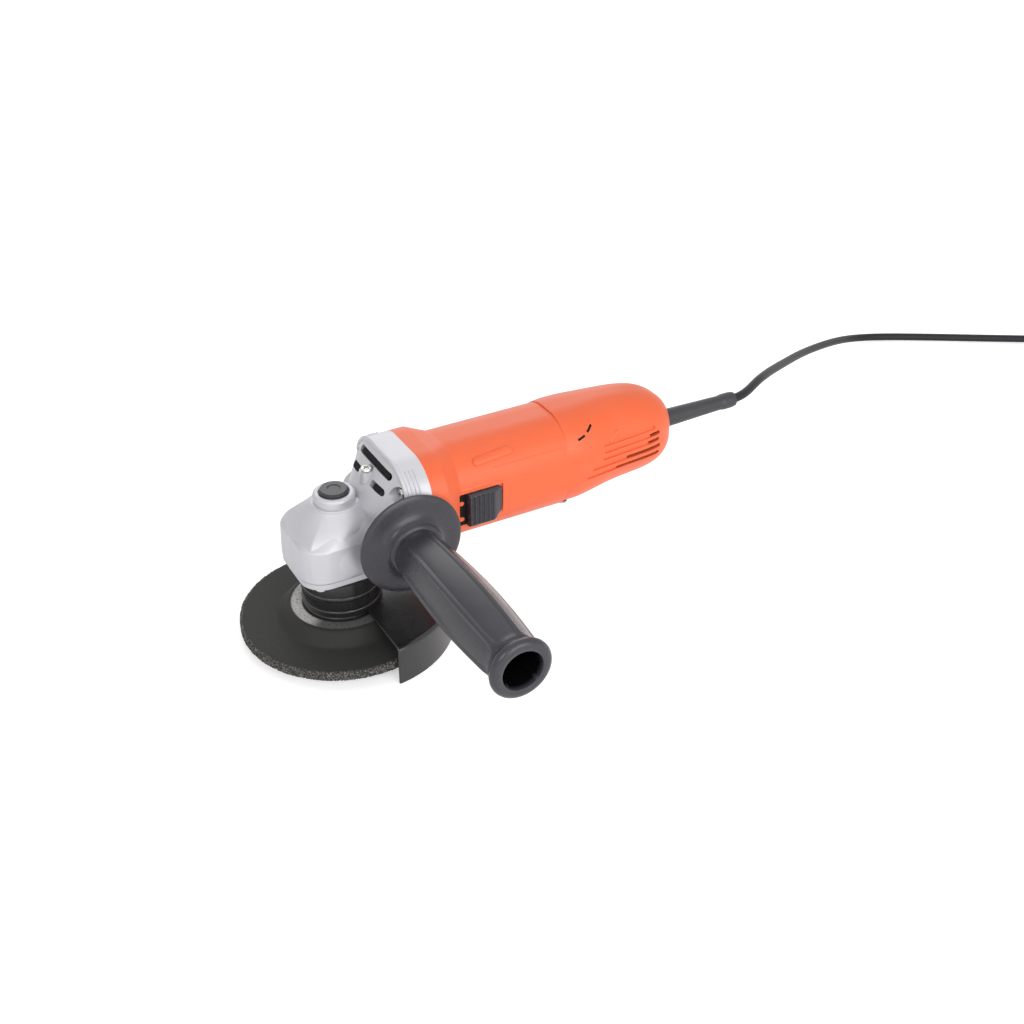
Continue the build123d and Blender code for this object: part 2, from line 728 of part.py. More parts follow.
with BuildPart() as rear_bearing:
    spin_x(*ball_bearing_profile(
        rear_bearing_id / 2, rear_bearing_od / 2, rear_bearing_x, rear_bearing_x + rear_bearing_w))
pieces["rear_bearing"] = rear_bearing.part

with BuildPart() as bearing_plate:
    ring_x(shaft_core_d / 2 + 1.5, hub_r, front_bearing_end, front_bearing_end + bearing_plate_t)
pieces["bearing_plate"] = bearing_plate.part

fan_hub_r = shaft_core_d / 2 + 4
fan_disc_t = 1.6
with BuildPart() as cooling_fan:
    ring_x(shaft_core_d / 2, fan_hub_r, fan_x, fan_x + fan_w)
    ring_x(fan_hub_r, fan_r, fan_x, fan_x + fan_disc_t)
    with BuildSketch(station(fan_x + fan_disc_t)):
        with PolarLocations((fan_r + fan_hub_r) / 2 + 2, fan_blades):
            Rectangle(fan_r - fan_hub_r - 6, 1.3, rotation=25)
    extrude(amount=fan_w - fan_disc_t - 2)
pieces["cooling_fan"] = cooling_fan.part

with BuildPart() as fan_baffle:
    with BuildSketch(station(baffle_x)):
        RectangleRounded(2 * chamber_half_y - 0.2, 2 * chamber_half_z - 0.2, chamber_corner)
        Circle(fan_r * 0.7, mode=Mode.SUBTRACT)
        with Locations(*corner_spots):
            Circle(corner_boss_r + 0.2, mode=Mode.SUBTRACT)
    extrude(amount=baffle_t)
pieces["fan_baffle"] = fan_baffle.part

with BuildPart() as rotor_core:
    with BuildSketch(station(core_x)):
        Circle(core_r)
        Circle(shaft_core_d / 2, mode=Mode.SUBTRACT)
        with PolarLocations(core_r - 2.4, core_slots):
            SlotOverall(5.4, 3.0, mode=Mode.SUBTRACT)
    extrude(amount=core_len)
pieces["rotor_core"] = rotor_core.part

with BuildPart() as rotor_windings:
    for start in (core_x - winding_len - 4, core_end_x):
        end = core_x if start < core_x else core_end_x + winding_len
        spin_x((start, shaft_core_d / 2), (start, core_r - 4), (start + 2, core_r - 1.5),
               (end - 1, core_r - 1.5), (end, core_r - 3), (end, shaft_core_d / 2))
pieces["rotor_windings"] = rotor_windings.part

with BuildPart() as commutator:
    with BuildSketch(station(commutator_x)):
        Circle(commutator_r)
        Circle(shaft_core_d / 2, mode=Mode.SUBTRACT)
        with PolarLocations(commutator_r, commutator_bars):
            Rectangle(2.0, 0.5, mode=Mode.SUBTRACT)
    extrude(amount=commutator_len)
pieces["commutator"] = commutator.part

# Stator, field coils and brush gear
slot_from = 20
slot_to = 50
slot_in = core_r + air_gap
slot_out = slot_in + 5.3
with BuildPart() as stator_core:
    with BuildSketch(station(stator_x)):
        Circle(stator_r)
        Rectangle(2 * stator_flat, 2 * stator_r, mode=Mode.INTERSECT)
        Circle(core_r + air_gap, mode=Mode.SUBTRACT)
        for start, end in ((slot_from, slot_to), (180 - slot_to, 180 - slot_from)):
            sector(slot_in - 1, slot_out, start, end, mode=Mode.SUBTRACT)
            sector(slot_in - 1, slot_out, -end, -start, mode=Mode.SUBTRACT)
    extrude(amount=stator_len)
pieces["stator_core"] = stator_core.part

coil_end_x = stator_x + stator_len
with BuildPart() as field_coils:
    for flip in (1, -1):
        for start, end in ((slot_from, slot_to), (180 - slot_to, 180 - slot_from)):
            low, high = sorted((flip * (start + 2), flip * (end - 2)))
            with BuildSketch(station(stator_x - winding_len)):
                sector(slot_in + 0.8, slot_out, low, high)
            extrude(amount=stator_len + 2 * winding_len)
        low, high = sorted((flip * (slot_to - 2.5), flip * (182.5 - slot_to)))
        for x in (stator_x - winding_len, coil_end_x):
            with BuildSketch(station(x)):
                sector(slot_in + 0.8, slot_out, low, high)
            extrude(amount=winding_len)
pieces["field_coils"] = field_coils.part

brush_w = 5.0
brush_len = 6.0
brush_in = commutator_r + 0.1
brush_out = brush_in + 10
holder_out = brush_out + 3.6
holder_wall = 1.2
with BuildPart() as brush_holders:
    for flip in (1, -1):
        plane = Plane(origin=(brush_x, 0, motor_z), x_dir=(1, 0, 0), z_dir=(0, 0, flip))
        with BuildSketch(plane.offset(brush_in + 0.8)):
            Rectangle(brush_len + 2 * holder_wall, brush_w + 2 * holder_wall)
            Rectangle(brush_len + 0.1, brush_w + 0.1, mode=Mode.SUBTRACT)
        extrude(amount=holder_out - brush_in - 0.8)
        with BuildSketch(plane.offset(holder_out)):
            Rectangle(brush_len + 2 * holder_wall, brush_w + 2 * holder_wall)
        extrude(amount=1)
pieces["brush_holders"] = brush_holders.part

with BuildPart() as carbon_brushes:
    for flip in (1, -1):
        plane = Plane(origin=(brush_x, 0, motor_z), x_dir=(1, 0, 0), z_dir=(0, 0, flip))
        with BuildSketch(plane.offset(brush_in)):
            Rectangle(brush_len, brush_w)
        extrude(amount=brush_out - brush_in)
pieces["carbon_brushes"] = carbon_brushes.part

with BuildPart() as brush_springs:
    for flip in (1, -1):
        plane = Plane(origin=(brush_x, 0, motor_z), x_dir=(1, 0, 0), z_dir=(0, 0, flip))
        with BuildSketch(plane.offset(brush_out)):
            Circle(brush_w / 2 - 0.2)
            Circle(brush_w / 2 - 1, mode=Mode.SUBTRACT)
        extrude(amount=holder_out - brush_out)
pieces["brush_springs"] = brush_springs.part

# Motor housing: collar, swept-in waist, grip with the switch pocket, rear bearing bridge and lip
bridge_x = rear_bearing_x - 0.5
bridge_t = seam_x - bridge_x
lip_half_y = grip_half_y - cover_wall - 0.25
lip_half_z = grip_half_z - cover_wall - 0.6
lip_rise = cover_rise + 0.25
cover_floor_z = motor_z - grip_half_z + 0.1 + cover_rise
lip_corner = grip_corner - cover_wall + 1.8
bearing_hub_r = rear_bearing_od / 2 + 3
rod_low = slider_z + 1.2 - stem_h / 2
rod_out = bore_r - 1.1
rod_in = rod_out - rod_t
window_x = slider_x + 7 - slider_travel - 0.5
window_len = stem_len + slider_travel + 1
pocket_x = slider_x - slider_travel - 0.5
pocket_len = slider_len + slider_travel + 1
pocket_floor = grip_half_y - pocket_depth
cover_screw_y = 14.0
cover_screw_x = seam_x + 5.0
cover_screw_d = 3.0
holder_room = brush_w + 2 * holder_wall + 0.6
with BuildPart() as motor_housing:
    with BuildSketch(station(flange_end_x)):
        RectangleRounded(2 * collar_half_y, 2 * collar_half_z, collar_corner)
    extrude(amount=collar_end_x - flange_end_x)
    with BuildSketch(station(collar_end_x)):
        RectangleRounded(2 * collar_half_y, 2 * collar_half_z, collar_corner)
    with BuildSketch(station(grip_start_x)):
        RectangleRounded(2 * grip_half_y, 2 * grip_half_z, grip_corner)
    loft()
    with BuildSketch(station(grip_start_x)):
        RectangleRounded(2 * grip_half_y, 2 * grip_half_z, grip_corner)
    extrude(amount=seam_x - grip_start_x)
    with BuildSketch(station(seam_x)):
        with Locations((0, lip_rise)):
            RectangleRounded(2 * lip_half_y, 2 * lip_half_z, lip_corner)
    extrude(amount=lip_len)
    # fan room and motor bore
    with BuildSketch(station(flange_end_x)):
        RectangleRounded(2 * chamber_half_y, 2 * chamber_half_z, chamber_corner)
    extrude(amount=baffle_x + baffle_t - flange_end_x, mode=Mode.SUBTRACT)
    ring_x(0, bore_r, baffle_x, seam_x, mode=Mode.SUBTRACT)
    with BuildSketch(station(seam_x)):
        with Locations((0, lip_rise)):
            RectangleRounded(2 * lip_half_y - 4, 2 * lip_half_z - 4, lip_corner - 2)
    extrude(amount=lip_len, mode=Mode.SUBTRACT)
    with BuildSketch(station(flange_end_x)):
        with Locations(*corner_spots):
            Circle(corner_boss_r)
    extrude(amount=collar_end_x - flange_end_x)
    with BuildSketch(station(flange_end_x)):
        with Locations(*corner_spots):
            Circle(screw_d / 2)
    extrude(amount=collar_end_x - flange_end_x - 1, mode=Mode.SUBTRACT)
    # bridge that carries the rear bearing
    with BuildSketch(station(bridge_x)):
        with Locations((0, 0)):
            Rectangle(2 * bore_r + 1, 5, rotation=45)
            Rectangle(2 * bore_r + 1, 5, rotation=-45)
        Circle(bearing_hub_r)
    extrude(amount=bridge_t)
    ring_x(0, bearing_hub_r, seam_x, rear_bearing_x + rear_bearing_w)
    ring_x(0, rear_bearing_od / 2, rear_bearing_x, rear_bearing_x + rear_bearing_w, mode=Mode.SUBTRACT)
    ring_x(0, shaft_core_d / 2 + 0.6, bridge_x, rear_bearing_x, mode=Mode.SUBTRACT)
    # pocket and window for the slide switch, and the way of its rod through the lip
    with Locations((pocket_x + pocket_len / 2, -pocket_floor, slider_z)):
        Box(pocket_len, 10, slider_h + 2 * pocket_clear,
            align=(Align.CENTER, Align.MAX, Align.CENTER), mode=Mode.SUBTRACT)
    with Locations((window_x + window_len / 2, -grip_half_y, rod_low + stem_h / 2)):
        Box(window_len, 12, stem_h + 0.8, mode=Mode.SUBTRACT)
    with Locations((seam_x, -rod_out - 0.4, rod_low + stem_h / 2)):
        Box(2 * lip_len + 1, 8, stem_h + 1.6, align=(Align.CENTER, Align.MIN, Align.CENTER), mode=Mode.SUBTRACT)
    # bosses in the lip for the cover screws
    for side in (-1, 1):
        with BuildSketch(Plane.XY.offset(motor_z - lip_half_z + lip_rise + 2.9)):
            with Locations((cover_screw_x, side * cover_screw_y)):
                Circle(cover_screw_d / 2 + 2)
        extrude(amount=7)
        with BuildSketch(Plane.XY.offset(motor_z - lip_half_z + lip_rise - 3)):
            with Locations((cover_screw_x, side * cover_screw_y)):
                Circle(cover_screw_d / 2)
        extrude(amount=12, mode=Mode.SUBTRACT)
pieces["motor_housing"] = motor_housing.part

# Slide switch: ribbed button, rod inside the housing, switch block at the rear
with BuildPart() as switch_button:
    face_y = grip_half_y + slider_proud
    with BuildSketch(Plane.XY.offset(slider_z)):
        with BuildLine():
            Polyline(
                (slider_x, -pocket_floor - 0.1), (slider_x, -face_y + 0.8), (slider_x + 0.8, -face_y),
                (slider_x + slider_len * 0.62, -face_y), (slider_x + slider_len * 0.72, -face_y + 1.0),
                (slider_x + slider_len - 1.5, -grip_half_y - 0.6), (slider_x + slider_len, -grip_half_y + 0.6),
                (slider_x + slider_len, -pocket_floor - 0.1), close=True)
        make_face()
    extrude(amount=slider_h / 2, both=True)
    groove = slider_len * 0.62 / 6
    for i in range(5):
        with BuildSketch(Plane.XY.offset(slider_z)):
            with Locations((slider_x + groove * (i + 1), -face_y)):
                Rectangle(groove * 0.45, 1.6)
        extrude(amount=slider_h / 2 - 2, both=True, mode=Mode.SUBTRACT)
    with Locations((slider_x + 7 + stem_len / 2, -rod_out, rod_low + stem_h / 2)):
        Box(stem_len, pocket_floor - rod_out + 1, stem_h, align=(Align.CENTER, Align.MAX, Align.CENTER))
pieces["switch_button"] = switch_button.part

tab_x = switch_x + 4.5
switch_side = 14.0
with BuildPart() as switch_rod:
    rod_x = slider_x + 7
    with Locations((rod_x, -rod_out, rod_low)):
        Box(tab_x + 1.5 - rod_x, rod_t, stem_h, align=(Align.MIN, Align.MIN, Align.MIN))
    with Locations((tab_x, -rod_out, rod_low)):
        Box(1.5, rod_out - switch_side + 2.5, stem_h, align=(Align.MIN, Align.MIN, Align.MIN))
pieces["switch_rod"] = switch_rod.part

with BuildPart() as switch_body:
    with Locations((switch_x, -switch_side, rod_low + stem_h / 2)):
        Box(switch_len, switch_w, switch_h, align=(Align.MIN, Align.MIN, Align.CENTER))
    fillet(switch_body.edges().filter_by(Axis.X), 1.0)
    with Locations((switch_x, -switch_side, rod_low + stem_h / 2)):
        Box(8, 3.2, stem_h + 0.8, align=(Align.MIN, Align.MIN, Align.CENTER), mode=Mode.SUBTRACT)
pieces["switch_body"] = switch_body.part

# Rear cover: stations as (x, width, height, corner radius, rise of the middle)
cover_stations = [
    (seam_x, 2 * grip_half_y, 2 * grip_half_z - 0.2, grip_corner + 1, cover_rise),
    (seam_x + 24, 2 * grip_half_y, 2 * grip_half_z - 0.2, grip_corner + 2, 1.9),
    (seam_x + 49, 2 * grip_half_y - 4, 2 * grip_half_z - 4.2, grip_corner + 1, 2.7),
    (tail_x - 14, 50, 51, 22, 2.0),
    (tail_x, 32, 34, 14, 1.5),
]


def cover_skin(inset):
    """Sections of the rear cover, drawn in by a wall thickness."""
    sections = []
    for x, width, height, corner, rise in cover_stations:
        with BuildSketch(station(x - (inset if x == tail_x else 0))) as section:
            with Locations((0, rise)):
                RectangleRounded(width - 2 * inset, height - 2 * inset, corner - inset)
        sections.append(section.sketch)
    return sections


slot_h = 2.4
clamp_x = 205.0
clamp_len = 8.0
clamp_half = 8.0
cord_r = cord_d / 2
sleeve_bore_r = cord_r + 0.05
pad_top_z = motor_z - cord_r
switch_mid_y = -switch_side + switch_w / 2
rib_t = 2.5
with BuildPart() as cover_ribs:
    for x in (switch_x + 9.5, switch_x + switch_len - rib_t - 2):
        with BuildSketch(station(x)):
            with Locations((0, -4)):
                Rectangle(2 * grip_half_y, 2 * grip_half_z)
            with Locations((switch_mid_y, rod_low + stem_h / 2 - motor_z)):
                Rectangle(switch_w + 0.2, switch_h + 0.2, mode=Mode.SUBTRACT)
            with Locations((0, grip_half_z - 4)):
                Rectangle(2 * grip_half_y, 20, mode=Mode.SUBTRACT)
            with Locations((-rod_out, rod_low + stem_h / 2 - motor_z)):
                Rectangle(12, stem_h + 3, mode=Mode.SUBTRACT)
        extrude(amount=rib_t)
    with Locations((clamp_x, 0, pad_top_z)):
        Box(clamp_len, 2 * clamp_half + 6, 30, align=(Align.MIN, Align.CENTER, Align.MAX))
    loft(cover_skin(cover_wall / 2), mode=Mode.INTERSECT)

# shallow grooves that lead into the air inlets
inlets = ((34, 193.5, 76.5), (27, 197.5, 81.5), (9, 205, 86.5), (8, 206, 91.0))
groove_depth = 0.8
with BuildPart() as inlet_grooves:
    with BuildSketch(Plane.XZ):
        for length, x, z in inlets + ((0, 206, 95.5),):
            with Locations((x + length / 2 - 20 - length / 4, z)):
                SlotOverall(40 + length / 2, slot_h)
    extrude(amount=grip_half_y + 5, both=True)
    loft(cover_skin(groove_depth), mode=Mode.SUBTRACT)

with BuildPart() as rear_cover:
    loft(cover_skin(0))
    fillet(rear_cover.edges().group_by(Axis.X)[-1], 5)
    loft(cover_skin(cover_wall), mode=Mode.SUBTRACT)
    ring_x(0, sleeve_root_r + 0.05, tail_x - 8, tail_x + 8, mode=Mode.SUBTRACT)
    # air inlets on both sides
    with BuildSketch(Plane.XZ):
        for length, x, z in inlets:
            with Locations((x, z)):
                SlotOverall(length, slot_h)
    extrude(amount=grip_half_y + 5, both=True, mode=Mode.SUBTRACT)
    add(inlet_grooves.part, mode=Mode.SUBTRACT)
    # ribs that hold the switch block, and a pad for the cord clamp
    add(cover_ribs.part)
    with BuildSketch(Plane.XY.offset(pad_top_z)):
        with Locations((clamp_x + clamp_len / 2, clamp_half), (clamp_x + clamp_len / 2, -clamp_half)):
            Circle(1.5)
    extrude(amount=-9, mode=Mode.SUBTRACT)
    # screws from below into the lip
    for side in (-1, 1):
        with BuildSketch(Plane.XY.offset(cover_floor_z - 8)):
            with Locations((cover_screw_x, side * cover_screw_y)):
                Circle(cover_screw_d + 0.3)
        extrude(amount=8 + cover_seat, mode=Mode.SUBTRACT)
        with BuildSketch(Plane.XY.offset(cover_floor_z)):
            with Locations((cover_screw_x, side * cover_screw_y)):
                Circle(cover_screw_d / 2 + 0.1)
        extrude(amount=9, mode=Mode.SUBTRACT)
pieces["rear_cover"] = rear_cover.part

cover_head_z = cover_floor_z + cover_seat
with BuildPart() as rear_cover_screws:
    for side in (-1, 1):
        with BuildSketch(Plane.XY.offset(cover_head_z)):
            with Locations((cover_screw_x, side * cover_screw_y)):
                Circle(cover_screw_d / 2)
        extrude(amount=8)
        with BuildSketch(Plane.XY.offset(cover_head_z)):
            with Locations((cover_screw_x, side * cover_screw_y)):
                Circle(cover_screw_d)
        extrude(amount=0.1 - cover_seat)
pieces["rear_cover_screws"] = rear_cover_screws.part

# Cord entry: clamp bar, inner cord and bend sleeve
clamp_t = 4.0
with BuildPart() as cord_clamp:
    with Locations((clamp_x, 0, motor_z)):
        Box(clamp_len, 2 * clamp_half + 6, cord_r + clamp_t, align=(Align.MIN, Align.CENTER, Align.MIN))
    with BuildSketch(station(clamp_x)):
        Circle(cord_r)
        with Locations((0, -cord_r)):
            Rectangle(2 * cord_r, 2 * cord_r)
    extrude(amount=clamp_len, mode=Mode.SUBTRACT)
    with Locations((clamp_x, clamp_half, motor_z - cord_r), (clamp_x, -clamp_half, motor_z - cord_r)):
        Box(clamp_len, 6, cord_r, align=(Align.MIN, Align.CENTER, Align.MIN))
    with BuildSketch(Plane.XY.offset(pad_top_z)):
        with Locations((clamp_x + clamp_len / 2, clamp_half), (clamp_x + clamp_len / 2, -clamp_half)):
            Circle(1.6)
    extrude(amount=2 * cord_r + clamp_t + 1, mode=Mode.SUBTRACT)
pieces["cord_clamp"] = cord_clamp.part

clamp_top_z = motor_z + cord_r + clamp_t
with BuildPart() as cord_clamp_screws:
    for y in (clamp_half, -clamp_half):
        with BuildSketch(Plane.XY.offset(clamp_top_z)):
            with Locations((clamp_x + clamp_len / 2, y)):
                Circle(1.5)
        extrude(amount=-16)
        with BuildSketch(Plane.XY.offset(clamp_top_z)):
            with Locations((clamp_x + clamp_len / 2, y)):
                Circle(2.9)
        extrude(amount=2)
pieces["cord_clamp_screws"] = cord_clamp_screws.part

inner_x = switch_x + switch_len
with BuildPart() as inner_cord:
    with BuildSketch(station(inner_x)):
        Circle(cord_r)
    extrude(amount=sleeve_end_x - inner_x)
pieces["inner_cord"] = inner_cord.part

with BuildPart() as cord_sleeve:
    inside = tail_x - cover_wall
    spin_x(
        (inside - 4, sleeve_bore_r), (inside - 4, sleeve_root_r + 2.5), (inside, sleeve_root_r + 2.5),
        (inside, sleeve_root_r), (tail_x + 4, sleeve_root_r), (sleeve_end_x - 12, sleeve_tip_r),
        (sleeve_end_x - 9, sleeve_bulb_r), (sleeve_end_x - 3, sleeve_bulb_r), (sleeve_end_x, sleeve_tip_r),
        (sleeve_end_x, sleeve_bore_r),
    )
pieces["cord_sleeve"] = cord_sleeve.part

# Side handle: dished guard disc, faceted swelling grip, rim round a hollow end
handle_axis = Axis((handle_x, 0, handle_z), (0, -1, 0))
handle_plane = Plane(origin=(handle_x, 0, handle_z), x_dir=(0, -1, 0), z_dir=(1, 0, 0))
barrel_y = disc_y + disc_t
rim_y = handle_end_y - rim_w
with BuildPart() as handle_grip:
    for share, flat in grip_stations:
        with BuildSketch(handle_station(barrel_y - 2 + (rim_y - barrel_y + 2) * share)):
            RegularPolygon(flat, 6, major_radius=False, rotation=grip_turn)
            fillet(vertices(), grip_ridge_r)
    loft()
    # neck, disc dished towards the head, and the rolled rim
    with BuildSketch(handle_plane):
        with BuildLine():
            Polyline((handle_boss_y, 0), (handle_boss_y, grip_neck_r - 1.5), (handle_boss_y + 1, grip_neck_r - 0.5),
                     (disc_y - 5, grip_neck_r - 0.5))
            Spline((disc_y - 5, grip_neck_r - 0.5), (disc_y - 1.5, grip_neck_r + 4), (disc_y - 3, disc_r - 1),
                   tangents=((1, 0.1), (-0.45, 1)))
            ThreePointArc((disc_y - 3, disc_r - 1), (disc_y - 1.4, disc_r), (disc_y - 0.4, disc_r - 1.2))
            Spline((disc_y - 0.4, disc_r - 1.2), (disc_y + 1.6, grip_neck_r + 5), (barrel_y + 1.4, grip_neck_r + 1))
            Line((barrel_y + 1.4, grip_neck_r + 1), (barrel_y + 1.4, 0))
            Line((barrel_y + 1.4, 0), (handle_boss_y, 0))
        make_face()
    revolve(axis=handle_axis)
    with BuildSketch(handle_plane):
        with BuildLine():
            Line((rim_y - 3, 0), (rim_y - 3, grip_end_r - 0.6))
            ThreePointArc((rim_y - 3, grip_end_r - 0.6), (rim_y + 0.2, grip_end_r + 0.5), (rim_y + 1.6, rim_r - 0.6))
            ThreePointArc((rim_y + 1.6, rim_r - 0.6), (rim_y + rim_w * 0.55, rim_r), (handle_end_y, rim_r - 3.2))
            Line((handle_end_y, rim_r - 3.2), (handle_end_y, 0))
            Line((handle_end_y, 0), (rim_y - 3, 0))
        make_face()
    revolve(axis=handle_axis)
    # hollow end with small locating ribs, and the hole for the stud
    with BuildSketch(handle_station(handle_end_y)):
        Circle(handle_bore_r)
        with PolarLocations(handle_bore_r, 4, start_angle=45):
            Rectangle(2.4, 2.0, mode=Mode.SUBTRACT)
    extrude(amount=-handle_bore_depth, mode=Mode.SUBTRACT)
    with BuildSketch(handle_station(handle_boss_y)):
        Circle(handle_thread_d / 2 - 0.05)
    extrude(amount=stud_len - handle_thread_depth + 1, mode=Mode.SUBTRACT)
pieces["handle_grip"] = handle_grip.part

with BuildPart() as handle_stud:
    with BuildSketch(handle_station(handle_boss_y - handle_thread_depth + 1)):
        Circle(handle_thread_d / 2 - 0.05)
    extrude(amount=stud_len)
pieces["handle_stud"] = handle_stud.part

# Wheel guard: half a dish on a split collar round the neck
with BuildPart() as wheel_guard:
    lip = guard_r - guard_t
    spin_z(
        (collar_r, guard_plate_z), (lip, guard_plate_z), (lip, guard_foot_z), (guard_r, guard_foot_z),
        (guard_r, guard_top_z), (collar_r, guard_top_z),
    )
    fillet(wheel_guard.edges().filter_by(GeomType.CIRCLE).group_by(Axis.Z)[-1].sort_by(SortBy.RADIUS)[-1], 2.4)
    fillet(wheel_guard.edges().filter_by(GeomType.CIRCLE).filter_by(
        lambda e: abs(e.center().Z - guard_plate_z) < 0.01 and e.radius > collar_r + 1), 0.8)
    with Locations((guard_edge_x, 0, guard_foot_z)):
        Box(2 * guard_r, 3 * guard_r, 4 * guard_top_z, align=(Align.MAX, Align.CENTER, Align.CENTER),
            mode=Mode.SUBTRACT)
pieces["wheel_guard"] = wheel_guard.part

ear_z = collar_top_z - 2 - ear_h
screw_out = collar_r + ear_reach / 2
ear_plane = Plane.XY.rotated((0, 0, clamp_turn))
with BuildPart() as guard_collar:
    ring_z(neck_r + run_clear, collar_r, guard_plate_z, collar_top_z)
    for side in (-1, 1):
        with BuildSketch(ear_plane.offset(ear_z)):
            with Locations(((neck_r + 1 + collar_r + ear_reach) / 2, side * (clamp_gap + ear_t) / 2)):
                Rectangle(collar_r + ear_reach - neck_r - 1, ear_t)
        extrude(amount=ear_h)
    with BuildSketch(ear_plane.offset(guard_plate_z)):
        with Locations((neck_r, 0)):
            Rectangle(2 * collar_t + 4, clamp_gap)
    extrude(amount=collar_top_z - guard_plate_z, mode=Mode.SUBTRACT)
    across = Plane(origin=ear_plane.from_local_coords((screw_out, 0, ear_z + ear_h / 2)),
                   x_dir=(0, 0, 1), z_dir=ear_plane.y_dir)
    with BuildSketch(across):
        Circle(clamp_screw_d / 2 + 0.05)
    extrude(amount=clamp_gap + ear_t, both=True, mode=Mode.SUBTRACT)
pieces["guard_collar"] = guard_collar.part

clamp_out = clamp_gap / 2 + ear_t
nut_len = 4.0
with BuildPart() as clamp_screw:
    with BuildSketch(across.offset(clamp_out + nut_len + 1)):
        Circle(clamp_screw_d / 2)
    extrude(amount=-2 * clamp_out - nut_len - 1)
    with BuildSketch(across.offset(-clamp_out)):
        Circle(clamp_screw_d * 0.85)
    extrude(amount=-clamp_screw_d * 0.7)
pieces["clamp_screw"] = clamp_screw.part

with BuildPart() as clamp_nut:
    with BuildSketch(across.offset(clamp_out)):
        RegularPolygon(clamp_screw_d * 0.8, 6, major_radius=False)
        Circle(clamp_screw_d / 2, mode=Mode.SUBTRACT)
    extrude(amount=nut_len)
pieces["clamp_nut"] = clamp_nut.part

# Cord: free stretch, coil in two layers, short end, tie and plug
cord_points = [
    (sleeve_end_x, 0, motor_z), (sleeve_end_x + 15, 0, motor_z), (314.5, 4.6, 81.5), (328.5, 14.8, 77.6),
    (346, 29.5, 71.4), (380, 58.2, 58.8), (436, 103, 38), (485, 134, 20), (530, 151, 6), (559.5, 145.5, 3), (596, 124, 3), (634, 100, 3.2),
    (672, 75, 4), (708, 54, 4),
]


def loose_line(points):
    """Runs joined by arcs as large as the runs allow."""
    corners = [Vector(*p) for p in points]
    radii = []
    for before, here, after in zip(corners, corners[1:], corners[2:]):
        turn = math.radians((here - before).get_angle(after - here))
        run = min((here - before).length, (after - here).length)
        radii.append(0.45 * run / math.tan(turn / 2))
    print("cord radii", [round(r) for r in radii])
    FilletPolyline(*points, radius=radii)


with BuildPart() as cord:
    with BuildLine() as route:
        loose_line(cord_points)
    with BuildSketch(Plane(origin=route.wire() @ 0, z_dir=route.wire() % 0)):
        Circle(cord_r)
    sweep()
pieces["cord"] = cord.part

coil_start = Vector(*cord_points[-1])
coil_along = (coil_start - Vector(*cord_points[-2])).normalized()
coil_side = Vector(-coil_along.Y, coil_along.X, 0)
coil_step = cord_d + coil_gap
coil_outer_r = coil_inner_r + coil_turns * coil_step
coil_mid = coil_start + coil_along * cord_d - coil_side * coil_outer_r
coil_total = 2 * coil_turns + 0.25
climb = 0.25


def coil_point(turns):
    """Centre line of the coil after a number of turns: in on the lower layer, out on the upper one."""
    r = coil_inner_r + coil_step * abs(coil_turns - turns)
    rise = min(1.0, max(0.0, (turns - coil_turns + climb) / (2 * climb)))
    lift = coil_step * (3 * rise ** 2 - 2 * rise ** 3)
    angle = -2 * math.pi * turns
    out = coil_side * math.cos(angle) - coil_along * math.sin(angle)
    return coil_mid + out * r + Vector(0, 0, lift)


def coil_way(turns):
    """Direction of the coil's centre line, level and round at both ends."""
    if turns <= 0 or turns >= coil_total:
        angle = -2 * math.pi * turns
        return coil_along * math.cos(angle) + coil_side * math.sin(angle)
    return (coil_point(turns + 0.001) - coil_point(turns - 0.001)).normalized()


quarters = [i / 4 for i in range(round(4 * coil_total) + 1)]
coil_last = coil_point(coil_total)
coil_leave = coil_way(coil_total)
with BuildPart() as cord_coil:
    with BuildLine() as wound:
        Line(coil_start, coil_point(0))
        for a, b in zip(quarters, quarters[1:]):
            biarc(coil_point(a), coil_way(a), coil_point(b), coil_way(b))
        Line(coil_last, coil_last + coil_leave * cord_d)
    with BuildSketch(Plane(origin=wound.wire() @ 0, z_dir=wound.wire() % 0)):
        Circle(cord_r)
    sweep()
pieces["cord_coil"] = cord_coil.part

# The end lies beside the coil, with the plug flat on the floor
end_start = coil_last + coil_leave * cord_d
plug_mid_z = 12.0
plug_rise = plug_mid_z - end_start.Z
end_points = [
    end_start + coil_leave * along + Vector(0, 0, plug_rise * share)
    for along, share in ((0, 0), (12, 0), (26, 1), (38, 1))
]
with BuildPart() as cord_end:
    with BuildLine() as end_route:
        loose_line([tuple(p) for p in end_points])
    with BuildSketch(Plane(origin=end_route.wire() @ 0, z_dir=end_route.wire() % 0)):
        Circle(cord_r)
    sweep()
pieces["cord_end"] = cord_end.part

plug_plane = Plane(origin=end_points[-1], x_dir=Vector(-coil_leave.Y, coil_leave.X, 0), z_dir=coil_leave)
with BuildPart() as plug:
    for offset, width, height, corner in ((0, 13, 12, 5.5), (14, 24, 19, 9), (plug_len - 16, 35.5, 23.6, 11.5)):
        with BuildSketch(plug_plane.offset(offset)):
            RectangleRounded(width, height, corner)
    loft()
    with BuildSketch(plug_plane.offset(plug_len - 16)):
        RectangleRounded(35.5, 23.6, 11.5)
    extrude(amount=16)
    fillet(plug.faces().sort_by(lambda f: f.center().dot(coil_leave))[-1].edges(), 1.5)
pieces["plug"] = plug.part

with BuildPart() as plug_pins:
    with BuildSketch(plug_plane.offset(plug_len)):
        with GridLocations(pin_pitch, 1, 2, 1):
            Circle(pin_d / 2)
    extrude(amount=pin_len)
    fillet(plug_pins.faces().filter_by(lambda f: f.center().dot(coil_leave) > plug_plane.origin.dot(
        coil_leave) + plug_len + pin_len - 0.1).edges(), pin_d / 2 - 0.3)
pieces["plug_pins"] = plug_pins.part

